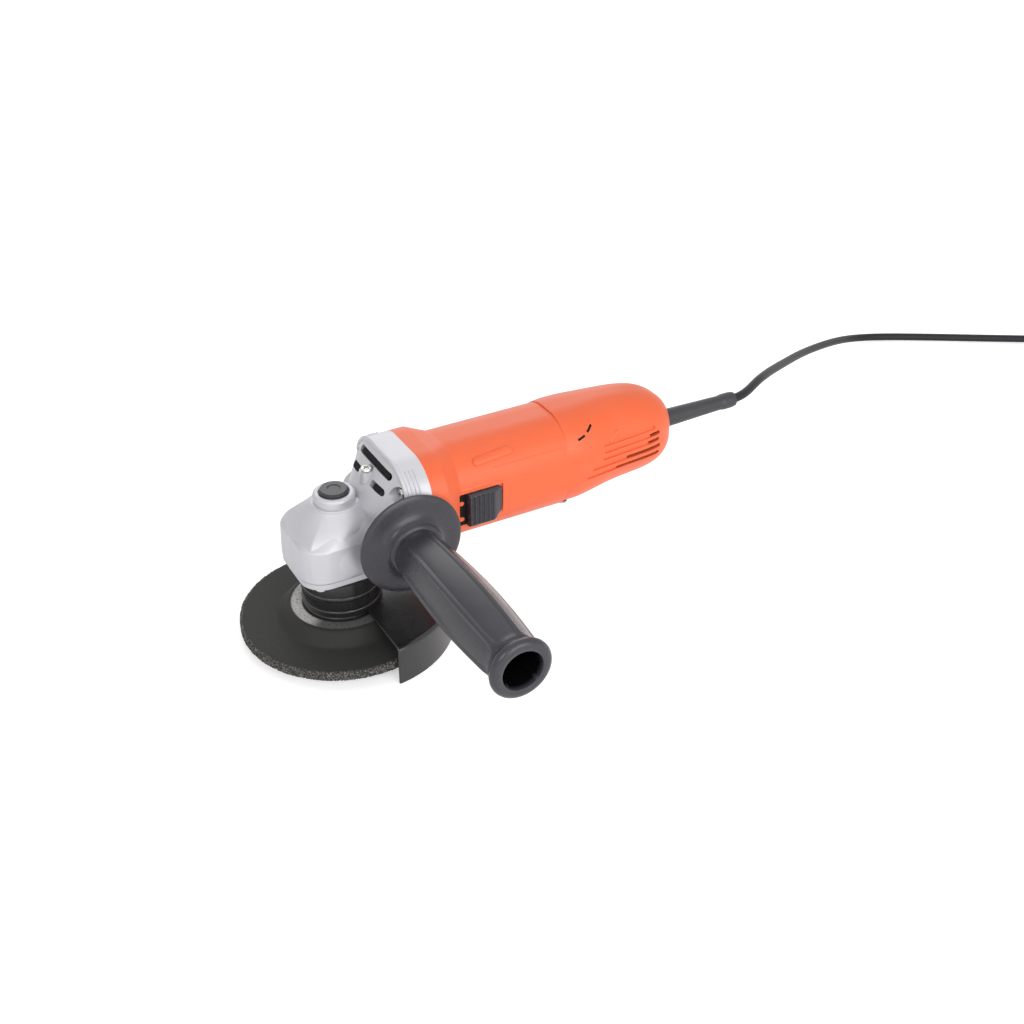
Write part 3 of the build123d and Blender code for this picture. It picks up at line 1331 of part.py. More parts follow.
# Tie round the turns opposite the coil's start, where the layers lie flat
tie_side = coil_side * -1
tie_in = coil_inner_r + coil_step * 0.5 - cord_r - 0.8
tie_out = coil_outer_r - coil_step * 0.5 + cord_r + 0.4
tie_low = coil_start.Z - cord_r - 0.1
tie_high = coil_start.Z + coil_step + cord_r + 0.1
tie_plane = Plane(origin=coil_mid + tie_side * (tie_in + tie_out) / 2, x_dir=tie_side, z_dir=coil_along * -1)
with BuildPart() as cord_tie:
    with BuildSketch(tie_plane):
        with Locations((0, (tie_low + tie_high) / 2 - coil_mid.Z)):
            Rectangle(tie_out - tie_in + 2 * tie_t, tie_high - tie_low + 2 * tie_t)
            Rectangle(tie_out - tie_in, tie_high - tie_low, mode=Mode.SUBTRACT)
    extrude(amount=tie_w / 2, both=True)
pieces["cord_tie"] = cord_tie.part

# Least gap of the coil to itself, on points along its path
coil_line = wound.wire()
samples = [coil_line @ (i / 1200) for i in range(1201)]
gap = min(
    (a - b).length for i, a in enumerate(samples) for b in samples[i + 40:]
    if abs(a.X - b.X) < 9 and abs(a.Y - b.Y) < 9
)
print("coil gap", round(gap - cord_d, 2))
lengths = (route.wire().length, coil_line.length, end_route.wire().length)
print("cord length", [round(v) for v in lengths], round(sum(lengths)))

# The origin is under the middle of the object without its cord
cord_names = ("cord", "cord_coil", "cord_end", "plug", "plug_pins", "cord_tie")
boxes = [part.bounding_box() for name, part in pieces.items() if name not in cord_names]
low = [min(b.min.X for b in boxes), min(b.min.Y for b in boxes), min(b.min.Z for b in boxes)]
high = [max(b.max.X for b in boxes), max(b.max.Y for b in boxes)]
shift = Location((-(low[0] + high[0]) / 2, -(low[1] + high[1]) / 2, -low[2]))
print("shift", shift.position)
for name, part in pieces.items():
    placed = part.moved(shift)
    placed.label = name
    export_step(placed, f"parts/{name}.step")
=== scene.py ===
import json
import math
import bmesh
import bpy
import numpy as np
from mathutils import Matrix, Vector


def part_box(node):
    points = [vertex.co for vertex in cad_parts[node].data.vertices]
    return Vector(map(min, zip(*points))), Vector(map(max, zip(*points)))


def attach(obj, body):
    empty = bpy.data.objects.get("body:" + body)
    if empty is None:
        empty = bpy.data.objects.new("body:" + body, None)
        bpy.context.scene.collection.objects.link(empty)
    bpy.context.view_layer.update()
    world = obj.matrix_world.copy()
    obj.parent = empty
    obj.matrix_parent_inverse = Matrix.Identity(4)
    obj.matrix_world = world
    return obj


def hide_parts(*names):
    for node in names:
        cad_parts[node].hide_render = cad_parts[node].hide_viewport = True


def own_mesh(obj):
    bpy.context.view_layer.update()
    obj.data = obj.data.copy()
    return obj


# Small corded angle grinder, dressed over its CAD frame. Sizes here are millimetres in the tool's own
# frame: spindle along Z at x = y = 0, motor along X to the rear, side handle towards -Y.

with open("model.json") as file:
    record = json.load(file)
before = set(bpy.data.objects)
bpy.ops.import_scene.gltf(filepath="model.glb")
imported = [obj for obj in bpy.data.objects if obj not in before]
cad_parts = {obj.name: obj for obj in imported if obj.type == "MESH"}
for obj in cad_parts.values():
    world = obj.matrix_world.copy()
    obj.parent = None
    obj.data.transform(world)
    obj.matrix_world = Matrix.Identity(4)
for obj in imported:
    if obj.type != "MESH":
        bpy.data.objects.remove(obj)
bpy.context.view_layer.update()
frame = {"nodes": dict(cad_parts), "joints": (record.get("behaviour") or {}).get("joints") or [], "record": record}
nodes = frame["nodes"]
joints = {j["name"]: j for j in frame["joints"]}
spindleAt = np.array(joints["spindle_spin"]["pos_m"]) * 1000
spindleAt[2] = 0.0
motorZ = joints["armature_spin"]["pos_m"][2] * 1000
print("frame loaded:", len(nodes), "nodes, motor axis at", round(motorZ, 2), "mm")


def toFrame(points):  # tool millimetres to frame metres
    return (np.asarray(points, float) + spindleAt) / 1000


def linear(hexColour):  # sRGB hex to linear RGBA
    channels = np.array([int(hexColour[i:i + 2], 16) for i in (1, 3, 5)]) / 255
    low, high = channels / 12.92, ((channels + 0.055) / 1.055) ** 2.4
    return (*np.where(channels <= 0.04045, low, high), 1.0)


def perMetre(millimetres):  # noise scale for a pattern of that real size
    return 1000 / millimetres


def addNode(tree, kind, links=None, values=None, **settings):  # one node with its settings, values and links
    node = tree.nodes.new(kind)
    for key, value in settings.items():
        setattr(node, key, value)
    for socket, value in (values or {}).items():
        node.inputs[socket].default_value = value
    for socket, source in (links or {}).items():
        tree.links.new(source, node.inputs[socket])
    return node


def startMaterial(name, colour, roughness, metallic=0.0, ior=1.5):
    material = bpy.data.materials.new(name)
    material.use_nodes = True
    tree = material.node_tree
    shader = tree.nodes["Principled BSDF"]
    shader.inputs["Base Color"].default_value = linear(colour)
    shader.inputs["Roughness"].default_value = roughness
    shader.inputs["Metallic"].default_value = metallic
    shader.inputs["IOR"].default_value = ior
    place = addNode(tree, "ShaderNodeTexCoord").outputs["Object"]
    return material, tree, shader, place


def dieCastAluminium():
    # Pressure die cast, fine blasted and silver lacquered: pale satin grey, cloudy where the blasting varied
    material, tree, shader, place = startMaterial("dieCastAluminium", "#b9b8bd", 0.44, metallic=0.3)
    cloud = addNode(tree, "ShaderNodeTexNoise", {"Vector": place}, {"Scale": perMetre(14), "Detail": 4.0})
    tone = addNode(tree, "ShaderNodeMixRGB", {"Fac": cloud.outputs["Fac"]},
                   {"Color1": linear("#bdbcc1"), "Color2": linear("#c9c8cd")})
    tree.links.new(tone.outputs["Color"], shader.inputs["Base Color"])
    sheen = addNode(tree, "ShaderNodeMapRange", {"Value": cloud.outputs["Fac"]},
                    {"To Min": 0.38, "To Max": 0.54})
    tree.links.new(sheen.outputs["Result"], shader.inputs["Roughness"])
    grit = addNode(tree, "ShaderNodeTexNoise", {"Vector": place},
                   {"Scale": perMetre(0.8), "Detail": 3.0})  # real grit is finer, drawn coarser so it shows
    bump = addNode(tree, "ShaderNodeBump", {"Height": grit.outputs["Fac"]},
                   {"Strength": 0.2, "Distance": 5e-5})
    tree.links.new(bump.outputs["Normal"], shader.inputs["Normal"])
    return material


def orangePolyamide():
    # Glass-filled polyamide moulding: satin orange, spark-eroded texture, a shade paler where fibres show
    material, tree, shader, place = startMaterial("orangePolyamide", "#ea673a", 0.42, ior=1.53)
    shader.inputs["Specular IOR Level"].default_value = 0.3
    cloud = addNode(tree, "ShaderNodeTexNoise", {"Vector": place}, {"Scale": perMetre(22), "Detail": 5.0})
    tone = addNode(tree, "ShaderNodeMixRGB", {"Fac": cloud.outputs["Fac"]},
                   {"Color1": linear("#e76438"), "Color2": linear("#eb6c44")})
    tree.links.new(tone.outputs["Color"], shader.inputs["Base Color"])
    sheen = addNode(tree, "ShaderNodeMapRange", {"Value": cloud.outputs["Fac"]},
                    {"To Min": 0.36, "To Max": 0.48})
    tree.links.new(sheen.outputs["Result"], shader.inputs["Roughness"])
    spark = addNode(tree, "ShaderNodeTexNoise", {"Vector": place},
                    {"Scale": perMetre(0.7), "Detail": 3.0})  # real one is finer, drawn coarser so it shows
    bump = addNode(tree, "ShaderNodeBump", {"Height": spark.outputs["Fac"]},
                   {"Strength": 0.16, "Distance": 4e-5})
    tree.links.new(bump.outputs["Normal"], shader.inputs["Normal"])
    return material


def charcoalPolyamide():
    # Handle, switch and lock button: charcoal polyamide, satin from the tool, polished a little by hands
    material, tree, shader, place = startMaterial("charcoalPolyamide", "#39383d", 0.34, ior=1.53)
    shader.inputs["Specular IOR Level"].default_value = 0.3  # fine texture eats part of the gloss
    cloud = addNode(tree, "ShaderNodeTexNoise", {"Vector": place}, {"Scale": perMetre(18), "Detail": 5.0})
    tone = addNode(tree, "ShaderNodeMixRGB", {"Fac": cloud.outputs["Fac"]},
                   {"Color1": linear("#353439"), "Color2": linear("#3d3c42")})
    hollow = addNode(tree, "ShaderNodeAttribute", attribute_name="hollow")  # painted shade: near black inside the handle's bore
    whole = addNode(tree, "ShaderNodeMixRGB", {"Fac": hollow.outputs["Fac"], "Color1": tone.outputs["Color"]},
                    {"Color2": linear("#0b0b0c")})
    tree.links.new(whole.outputs["Color"], shader.inputs["Base Color"])
    sheen = addNode(tree, "ShaderNodeMapRange", {"Value": cloud.outputs["Fac"]},
                    {"To Min": 0.2, "To Max": 0.34})
    tree.links.new(sheen.outputs["Result"], shader.inputs["Roughness"])
    grain = addNode(tree, "ShaderNodeTexNoise", {"Vector": place},
                    {"Scale": perMetre(0.9), "Detail": 3.0})  # real grain is finer, drawn coarser so it shows
    bump = addNode(tree, "ShaderNodeBump", {"Height": grain.outputs["Fac"]},
                   {"Strength": 0.14, "Distance": 4e-5})
    tree.links.new(bump.outputs["Normal"], shader.inputs["Normal"])
    return material


def blackPolyamide():
    # Inner mouldings: black polyamide with flow marks from the gate
    material, tree, shader, place = startMaterial("blackPolyamide", "#0e0e10", 0.5, ior=1.53)
    shader.inputs["Specular IOR Level"].default_value = 0.12
    flow = addNode(tree, "ShaderNodeTexNoise", {"Vector": place}, {"Scale": perMetre(9), "Detail": 3.0})
    sheen = addNode(tree, "ShaderNodeMapRange", {"Value": flow.outputs["Fac"]},
                    {"To Min": 0.42, "To Max": 0.62})
    tree.links.new(sheen.outputs["Result"], shader.inputs["Roughness"])
    return material


def blackEnamel():
    # Pressed sheet steel under gloss black stove enamel: a smooth deep black with slightly dulled patches
    material, tree, shader, place = startMaterial("blackEnamel", "#202022", 0.24)
    shader.inputs["Specular IOR Level"].default_value = 0.6  # glossy film
    dull = addNode(tree, "ShaderNodeTexNoise", {"Vector": place}, {"Scale": perMetre(25), "Detail": 4.0})
    sheen = addNode(tree, "ShaderNodeMapRange", {"Value": dull.outputs["Fac"]},
                    {"To Min": 0.16, "To Max": 0.36})
    tree.links.new(sheen.outputs["Result"], shader.inputs["Roughness"])
    return material


def groundSteel():
    # Turned and ground carbon steel: fine lathe lines and an oily cloud in the gloss
    material, tree, shader, place = startMaterial("groundSteel", "#a4a4a8", 0.3, metallic=1.0)
    lines = addNode(tree, "ShaderNodeTexWave", {"Vector": place},
                    {"Scale": perMetre(0.6), "Distortion": 2.0, "Detail": 2.0}, bands_direction="Z")
    bump = addNode(tree, "ShaderNodeBump", {"Height": lines.outputs["Fac"]},
                   {"Strength": 0.08, "Distance": 2e-5})
    tree.links.new(bump.outputs["Normal"], shader.inputs["Normal"])
    oil = addNode(tree, "ShaderNodeTexNoise", {"Vector": place}, {"Scale": perMetre(11), "Detail": 4.0})
    sheen = addNode(tree, "ShaderNodeMapRange", {"Value": oil.outputs["Fac"]},
                    {"To Min": 0.22, "To Max": 0.42})
    tree.links.new(sheen.outputs["Result"], shader.inputs["Roughness"])
    return material


def zincPlate():
    # Bright zinc on pressed screws, a little yellow and unevenly bright
    material, tree, shader, place = startMaterial("zincPlate", "#bdbbb6", 0.26, metallic=1.0)
    bath = addNode(tree, "ShaderNodeTexNoise", {"Vector": place}, {"Scale": perMetre(2.5), "Detail": 4.0})
    tone = addNode(tree, "ShaderNodeMixRGB", {"Fac": bath.outputs["Fac"]},
                   {"Color1": linear("#a9a8a6"), "Color2": linear("#cbc9c3")})
    tree.links.new(tone.outputs["Color"], shader.inputs["Base Color"])
    sheen = addNode(tree, "ShaderNodeMapRange", {"Value": bath.outputs["Fac"]},
                    {"To Min": 0.18, "To Max": 0.36})
    tree.links.new(sheen.outputs["Result"], shader.inputs["Roughness"])
    return material


def resinAbrasive():
    # Resin-bonded corundum: near black and matt, bright broken grains round the rim, a pale hub ring worn in
    # patches and darkened by painted shade over part of its turn
    material, tree, shader, place = startMaterial("resinAbrasive", "#242423", 0.72)
    shader.inputs["Specular IOR Level"].default_value = 0.3
    weave = addNode(tree, "ShaderNodeTexNoise", {"Vector": place}, {"Scale": perMetre(1.4), "Detail": 4.0})
    face = addNode(tree, "ShaderNodeMixRGB", {"Fac": weave.outputs["Fac"]},
                   {"Color1": linear("#272726"), "Color2": linear("#343433")})
    grains = addNode(tree, "ShaderNodeTexVoronoi", {"Vector": place}, {"Scale": perMetre(0.65)})
    bright = addNode(tree, "ShaderNodeMapRange", {"Value": grains.outputs["Color"]},
                     {"From Min": 0.5, "From Max": 0.85})
    rim = addNode(tree, "ShaderNodeAttribute", attribute_name="rimGrit")
    share = addNode(tree, "ShaderNodeMath", {0: bright.outputs["Result"], 1: rim.outputs["Fac"]},
                    operation="MULTIPLY")
    gritty = addNode(tree, "ShaderNodeMixRGB",
                     {"Fac": share.outputs["Value"], "Color1": face.outputs["Color"]},
                     {"Color2": linear("#827d78")})
    # the ring's paleness, lowered by painted shade over part of its turn
    ring = addNode(tree, "ShaderNodeAttribute", attribute_name="hubRingWithShade")
    worn = addNode(tree, "ShaderNodeMapRange", {"Value": weave.outputs["Fac"]},
                   {"From Min": 0.3, "From Max": 0.5, "To Min": 0.35, "To Max": 1.0})
    pale = addNode(tree, "ShaderNodeMath", {0: ring.outputs["Fac"], 1: worn.outputs["Result"]},
                   operation="MULTIPLY")
    whole = addNode(tree, "ShaderNodeMixRGB",
                    {"Fac": pale.outputs["Value"], "Color1": gritty.outputs["Color"]},
                    {"Color2": linear("#c9c7c4")})
    tree.links.new(whole.outputs["Color"], shader.inputs["Base Color"])
    bump = addNode(tree, "ShaderNodeBump", {"Height": weave.outputs["Fac"]},
                   {"Strength": 0.35, "Distance": 2e-4})
    tree.links.new(bump.outputs["Normal"], shader.inputs["Normal"])
    return material


def copperWire():
    # Enamelled copper windings: glossy turns about 0.6 mm apart, drawn coarser so that they show
    material, tree, shader, place = startMaterial("copperWire", "#b36a3c", 0.35, metallic=1.0)
    turns = addNode(tree, "ShaderNodeTexWave", {"Vector": place},
                    {"Scale": perMetre(4), "Distortion": 1.5, "Detail": 1.0}, bands_direction="X")
    bump = addNode(tree, "ShaderNodeBump", {"Height": turns.outputs["Fac"]},
                   {"Strength": 0.5, "Distance": 2e-4})
    tree.links.new(bump.outputs["Normal"], shader.inputs["Normal"])
    # painted shade and highlight: the colour darkens in the grooves between turns and brightens on their crests
    tone = addNode(tree, "ShaderNodeMixRGB", {"Fac": turns.outputs["Fac"]},
                   {"Color1": linear("#8a4a26"), "Color2": linear("#bd7444")})
    tree.links.new(tone.outputs["Color"], shader.inputs["Base Color"])
    return material


def siliconSteel():
    # Stacked motor sheets: blue-grey edges, half a millimetre each, drawn coarser so that they show
    material, tree, shader, place = startMaterial("siliconSteel", "#6d6d70", 0.42, metallic=1.0)
    sheets = addNode(tree, "ShaderNodeTexWave", {"Vector": place},
                     {"Scale": perMetre(5), "Distortion": 0.2}, bands_direction="X")
    bump = addNode(tree, "ShaderNodeBump", {"Height": sheets.outputs["Fac"]},
                   {"Strength": 0.4, "Distance": 1e-4})
    tree.links.new(bump.outputs["Normal"], shader.inputs["Normal"])
    tone = addNode(tree, "ShaderNodeMixRGB", {"Fac": sheets.outputs["Fac"]},
                   {"Color1": linear("#55565a"), "Color2": linear("#77777a")})
    tree.links.new(tone.outputs["Color"], shader.inputs["Base Color"])
    return material


def pressedCarbon():
    # Brush carbon: matt dark grey with a graphite glint
    material, tree, shader, place = startMaterial("pressedCarbon", "#18181a", 0.55)
    glint = addNode(tree, "ShaderNodeTexNoise", {"Vector": place}, {"Scale": perMetre(0.5), "Detail": 2.0})
    sheen = addNode(tree, "ShaderNodeMapRange", {"Value": glint.outputs["Fac"]},
                    {"To Min": 0.35, "To Max": 0.75})
    tree.links.new(sheen.outputs["Result"], shader.inputs["Roughness"])
    return material


def cordRubber(name, darker, paler, gloss):
    # Neoprene of the cord, its sleeve and plug: matt charcoal, dusty in places, with a dull sheen
    material, tree, shader, place = startMaterial(name, darker, 0.52, ior=1.52)
    shader.inputs["Specular IOR Level"].default_value = gloss
    dust = addNode(tree, "ShaderNodeTexNoise", {"Vector": place}, {"Scale": perMetre(16), "Detail": 5.0})
    tone = addNode(tree, "ShaderNodeMixRGB", {"Fac": dust.outputs["Fac"]},
                   {"Color1": linear(darker), "Color2": linear(paler)})
    tree.links.new(tone.outputs["Color"], shader.inputs["Base Color"])
    skin = addNode(tree, "ShaderNodeTexNoise", {"Vector": place}, {"Scale": perMetre(1.2), "Detail": 2.0})
    bump = addNode(tree, "ShaderNodeBump", {"Height": skin.outputs["Fac"]},
                   {"Strength": 0.15, "Distance": 5e-5})
    tree.links.new(bump.outputs["Normal"], shader.inputs["Normal"])
    return material


def tiePlastic():
    # Releasable nylon tie: black, rather glossy, with fine teeth across it, drawn coarser so that they show
    material, tree, shader, place = startMaterial("tiePlastic", "#151517", 0.35)
    teeth = addNode(tree, "ShaderNodeTexWave", {"Vector": place}, {"Scale": perMetre(6)}, bands_direction="Z")
    bump = addNode(tree, "ShaderNodeBump", {"Height": teeth.outputs["Fac"]},
                   {"Strength": 0.3, "Distance": 1e-4})
    tree.links.new(bump.outputs["Normal"], shader.inputs["Normal"])
    return material


def nickelPlate():
    # Nickel plated plug pins with rubbed streaks
    material, tree, shader, place = startMaterial("nickelPlate", "#cfcac0", 0.2, metallic=1.0)
    rub = addNode(tree, "ShaderNodeTexNoise", {"Vector": place}, {"Scale": perMetre(3), "Detail": 4.0})
    sheen = addNode(tree, "ShaderNodeMapRange", {"Value": rub.outputs["Fac"]},
                    {"To Min": 0.14, "To Max": 0.32})
    tree.links.new(sheen.outputs["Result"], shader.inputs["Roughness"])
    return material


finishes = {
    "cast_aluminium": dieCastAluminium(), "orange_housing": orangePolyamide(),
    "charcoal_plastic": charcoalPolyamide(), "inner_plastic": blackPolyamide(),
    "black_steel": blackEnamel(), "steel": groundSteel(), "zinc_screws": zincPlate(),
    "abrasive": resinAbrasive(), "core_steel": siliconSteel(), "copper": copperWire(),
    "carbon": pressedCarbon(), "cord_rubber": cordRubber("cordRubber", "#27272b", "#333337", 0.5),
    "tie_plastic": tiePlastic(), "nickel_pins": nickelPlate(),
}
slotOf = {s["node"]: s["material_slot"] for s in frame["record"]["subparts"]}
for name, node in nodes.items():
    node.data.materials.clear()
    node.data.materials.append(finishes[slotOf[name]])
print("finishes set:", len(finishes))


def putPiece(name, grids, slot, body, replaced=(), marks=None, sharpAngle=38.0):
    # Each grid of points (rows x columns x 3, tool millimetres) becomes quads between its neighbours.
    # Doubles are merged, so seams and poles close.
    points, quads, start = [], [], 0
    for grid in grids:
        rows, columns = grid.shape[:2]
        index = start + np.arange(rows * columns).reshape(rows, columns)
        corners = index[:-1, :-1], index[1:, :-1], index[1:, 1:], index[:-1, 1:]
        quads.append(np.stack(corners, -1).reshape(-1, 4))
        points.append(grid.reshape(-1, 3))
        start += rows * columns
    mesh = bpy.data.meshes.new(name)
    mesh.from_pydata(toFrame(np.vstack(points)).tolist(), [], np.vstack(quads).tolist())
    for key, values in (marks or {}).items():
        mesh.attributes.new(key, "FLOAT", "POINT").data.foreach_set("value", values.ravel())
    work = bmesh.new()
    work.from_mesh(mesh)
    bmesh.ops.remove_doubles(work, verts=work.verts, dist=2e-6)  # metres
    bmesh.ops.dissolve_degenerate(work, edges=work.edges, dist=1e-7)
    bmesh.ops.recalc_face_normals(work, faces=work.faces)
    work.to_mesh(mesh)
    work.free()
    mesh.shade_smooth()
    mesh.set_sharp_from_angle(angle=math.radians(sharpAngle))
    mesh.materials.append(finishes[slot])
    piece = bpy.data.objects.new(name, mesh)
    bpy.context.scene.collection.objects.link(piece)
    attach(piece, body)
    if replaced:
        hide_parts(*replaced)
    return piece


def gridOf(x, y, z):  # three arrays of coordinates as one grid of points
    return np.stack(np.broadcast_arrays(x, y, z), -1)


def closedShell(upper, under):  # two skins as one closed loop of columns, drawn together at the end rows
    loop = np.concatenate([upper, under[:, ::-1]], axis=1)
    closing = (loop + loop[:, ::-1]) / 2
    grid = np.concatenate([closing[:1], loop, closing[-1:]])
    return np.concatenate([grid, grid[:, :1]], axis=1)


def soft(value):  # smooth step from 0 to 1
    value = np.clip(value, 0, 1)
    return value * value * (3 - 2 * value)


def bead(path, outward, halfWidth, height, around=20):
    # Along a path, an ellipse across it (halfWidth by height, height along outward) that shrinks to a point
    # at both ends by the circle's rule, so the ends are round
    along = np.gradient(path, axis=0)
    along /= np.linalg.norm(along, axis=1, keepdims=True)
    outward = outward - along * np.sum(along * outward, axis=1, keepdims=True)
    outward /= np.linalg.norm(outward, axis=1, keepdims=True)
    across = np.cross(along, outward)
    run = np.concatenate([[0], np.cumsum(np.linalg.norm(np.diff(path, axis=0), axis=1))])
    left = np.clip(np.minimum(run, run[-1] - run) / halfWidth, 0, 1)
    scale = np.sqrt(1 - (1 - left) ** 2)[:, None, None]
    turn = np.linspace(0, 2 * np.pi, around + 1)[None, :, None]
    ring = halfWidth * np.cos(turn) * across[:, None] + height * np.sin(turn) * outward[:, None]
    return path[:, None] + scale * ring


def easedShares(count):  # shares from 0 to 1, closer together at both ends
    return 0.5 - 0.5 * np.cos(np.linspace(0, np.pi, count))


def boxRadius(turn, halfY, halfZ, corner):
    # From the middle of a rounded rectangle to its outline along a ray: to the nearer flat, or to the
    # corner's arc where the ray leaves through a corner
    c, s = np.abs(np.cos(turn)), np.abs(np.sin(turn))
    flat = np.minimum(halfY / np.maximum(c, 1e-9), halfZ / np.maximum(s, 1e-9))
    midY, midZ = halfY - corner, halfZ - corner
    reach = midY * c + midZ * s
    arc = reach + np.sqrt(np.maximum(reach ** 2 - midY ** 2 - midZ ** 2 + corner ** 2, 0))
    return np.where((flat * c > midY) & (flat * s > midZ), arc, flat)


def roundMotor(x, turn, radius):
    # Points round the motor axis: turn 0 is the near side (-Y), 90 degrees the top
    return gridOf(x, -radius * np.cos(turn), motorZ + radius * np.sin(turn))


def onNode(name, x, degrees):
    # Where a ray from outside towards the motor axis meets a CAD node, and the outward direction there
    turn, clear = math.radians(degrees), 70.0  # clear of the body
    start, way = roundMotor(x, turn, clear), np.array([0.0, math.cos(turn), -math.sin(turn)])
    graph = bpy.context.evaluated_depsgraph_get()
    _, at, _, _ = nodes[name].ray_cast(Vector(toFrame(start)), Vector(way), depsgraph=graph)
    return np.array(at) * 1000 - spindleAt, -way


# Cord, from the sleeve to the plug: free stretch, then two layers of turns, then the end beside the coil
cordSizes = {
    "diameter": 6.0, "innerRadius": 24.0, "turns": 3, "gap": 0.6, "climb": 0.25, "lastPart": 0.25,
    "pointsPerTurn": 24, "plugHeight": 12.0,
    "route": [(286, 0, 82.7), (294.5, 0, 82.8), (317, 13.7, 81.9), (330, 23, 78.2), (347, 36, 72.1),
              (380, 60.5, 59.3), (430, 96.5, 40.5), (488, 130, 21), (530, 151, 6), (559.5, 145.5, 3),
              (596, 124, 3), (634, 100, 3.2), (672, 75, 4), (708, 54, 4)],
    "end": [(12, 0), (26, 1), (38, 1)],
}


def cordPoints(sizes):
    # The spiral goes in on the lower layer and out on the upper one at a steady rate
    route = np.array(sizes["route"], float)
    along = route[-1] - route[-2]
    along /= np.linalg.norm(along)
    side = np.array([-along[1], along[0], 0.0])
    step = sizes["diameter"] + sizes["gap"]
    outer = sizes["innerRadius"] + sizes["turns"] * step
    middle = route[-1] + along * sizes["diameter"] - side * outer
    total = 2 * sizes["turns"] + sizes["lastPart"]
    turns = np.linspace(0, total, int(total * sizes["pointsPerTurn"]) + 1)
    radius = sizes["innerRadius"] + step * np.abs(sizes["turns"] - turns)
    flat = 0.75 + 0.25 * math.cos(2 * math.pi / sizes["pointsPerTurn"])  # a curve runs inside its points
    rise = np.clip((turns - sizes["turns"] + sizes["climb"]) / (2 * sizes["climb"]), 0, 1)
    angle = -2 * math.pi * turns
    out = np.outer(np.cos(angle), side) - np.outer(np.sin(angle), along)
    coil = middle + out * (radius / flat)[:, None]
    coil[:, 2] += step * (3 * rise ** 2 - 2 * rise ** 3)
    coil[0] = middle + out[0] * radius[0]
    leave = math.cos(angle[-1]) * along + math.sin(angle[-1]) * side
    last = middle + out[-1] * radius[-1]
    last[2] = coil[-1, 2]
    coil[-1] = last
    start = last + leave * sizes["diameter"]
    lift = sizes["plugHeight"] - start[2]
    end = [start + leave * far + np.array([0, 0, lift * share]) for far, share in sizes["end"]]
    return np.vstack([route, coil, start[None], end])


def makeCord(sizes):
    points = toFrame(cordPoints(sizes))
    curve = bpy.data.curves.new("mainsCord", "CURVE")
    curve.dimensions = "3D"
    spline = curve.splines.new("NURBS")
    spline.points.add(len(points) - 1)
    spline.points.foreach_set("co", np.column_stack([points, np.ones(len(points))]).ravel())
    spline.order_u = 3
    spline.use_endpoint_u = True
    spline.resolution_u = 6
    curve.bevel_depth = sizes["diameter"] / 2000
    curve.bevel_resolution = 6
    curve.use_fill_caps = True
    cord = bpy.data.objects.new("mainsCord", curve)
    bpy.context.scene.collection.objects.link(cord)
    curve.materials.append(cordRubber("cordSheath", "#1b1b1e", "#252529", 0.25))  # darker than the sleeve
    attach(cord, "housing")
    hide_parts("cord", "cord_coil", "cord_end")
    print("cord laid:", len(points), "points")


makeCord(cordSizes)

# Wheel: chipped at the rim, with a pale ring round the flange. Rows are spans of the upper face's radius,
# from the bore outwards, each with its count.
wheelSizes = {
    "radius": 62.5, "foot": 7.5, "thick": 6.0, "hubRise": 7.6, "hubFlat": 32.0, "slope": 9.0,
    "rows": ((11.115, 24.0, 6), (24.2, 32.0, 14), (32.5, 41.5, 16), (43.0, 59.5, 9), (60.0, 62.0, 7)),
    "underShift": 2.5, "ringIn": 24.2, "ringOut": 31.2, "inBlur": 0.4, "outBlur": 0.6,
    "ringLitFrom": 60.0, "ringLitTo": 222.0, "ringShadeFade": 18.0, "ringShadedShare": 0.18,
    "gritFrom": 60.3, "gritFade": 1.4, "chip": 0.8, "pit": 0.25, "edgeRows": 8, "columns": 720, "seed": 11,
    "sharpAngle": 60.0,
}


def makeWheel(w):
    # Both faces are heights over the radius: flat hub, smooth step down, flat outer face. The edge joins
    # them, and a random grit, the same on every run, takes its skin back.
    upper = np.concatenate([np.linspace(*span) for span in w["rows"]])
    lower = upper[::-2]
    edge = np.linspace(0, 1, w["edgeRows"])
    radius = np.concatenate([upper, np.full(len(edge), w["radius"]), lower, upper[:1]])
    shift = np.concatenate([0 * upper, 0 * edge, np.full(len(lower), w["underShift"]), [0]])
    rise = w["hubRise"] * soft((w["hubFlat"] + w["slope"] - shift - radius) / w["slope"])
    level = np.concatenate([np.ones(len(upper)), 0.95 - 0.9 * edge, 0 * lower, [1]])  # 1 on top, 0 below
    height = w["foot"] + w["thick"] * level + rise
    onRim = np.concatenate([soft((upper - w["gritFrom"]) / w["gritFade"]), np.ones(len(edge)),
                            soft((lower - w["gritFrom"]) / w["gritFade"]), [0]])
    onTop = np.concatenate([np.ones(len(upper)), 0 * edge, 0 * lower, [1]])
    ring = onTop * soft((radius - w["ringIn"]) / w["inBlur"]) * soft((w["ringOut"] - radius) / w["outBlur"])
    grit = np.random.default_rng(w["seed"]).random((len(radius), w["columns"]))
    grit = np.hstack([grit, grit[:, :1]]) ** 2
    grit[-1] = grit[0]
    turn = np.linspace(0, 2 * np.pi, w["columns"] + 1)[None]
    r = radius[:, None] - w["chip"] * grit * onRim[:, None]
    z = height[:, None] + np.where(level[:, None] > 0.5, -w["pit"], w["pit"]) * grit * onRim[:, None]
    grid = gridOf(r * np.cos(turn), r * np.sin(turn), z)
    # painted shade: the ring stays pale between the lit angles and keeps only a small share of its paleness
    # elsewhere
    degrees = np.degrees(turn)
    pale = soft((w["ringLitTo"] - degrees) / w["ringShadeFade"]) * soft((degrees - w["ringLitFrom"]) / w["ringShadeFade"])
    pale = w["ringShadedShare"] + (1 - w["ringShadedShare"]) * pale  # painted shade darkens the ring on the other side
    putPiece("chippedWheel", [grid], "abrasive", "spindle_unit", ["grinding_wheel"],
             {"rimGrit": onRim[:, None] + 0 * turn, "hubRingWithShade": ring[:, None] * pale}, w["sharpAngle"])


makeWheel(wheelSizes)
print("wheel made")

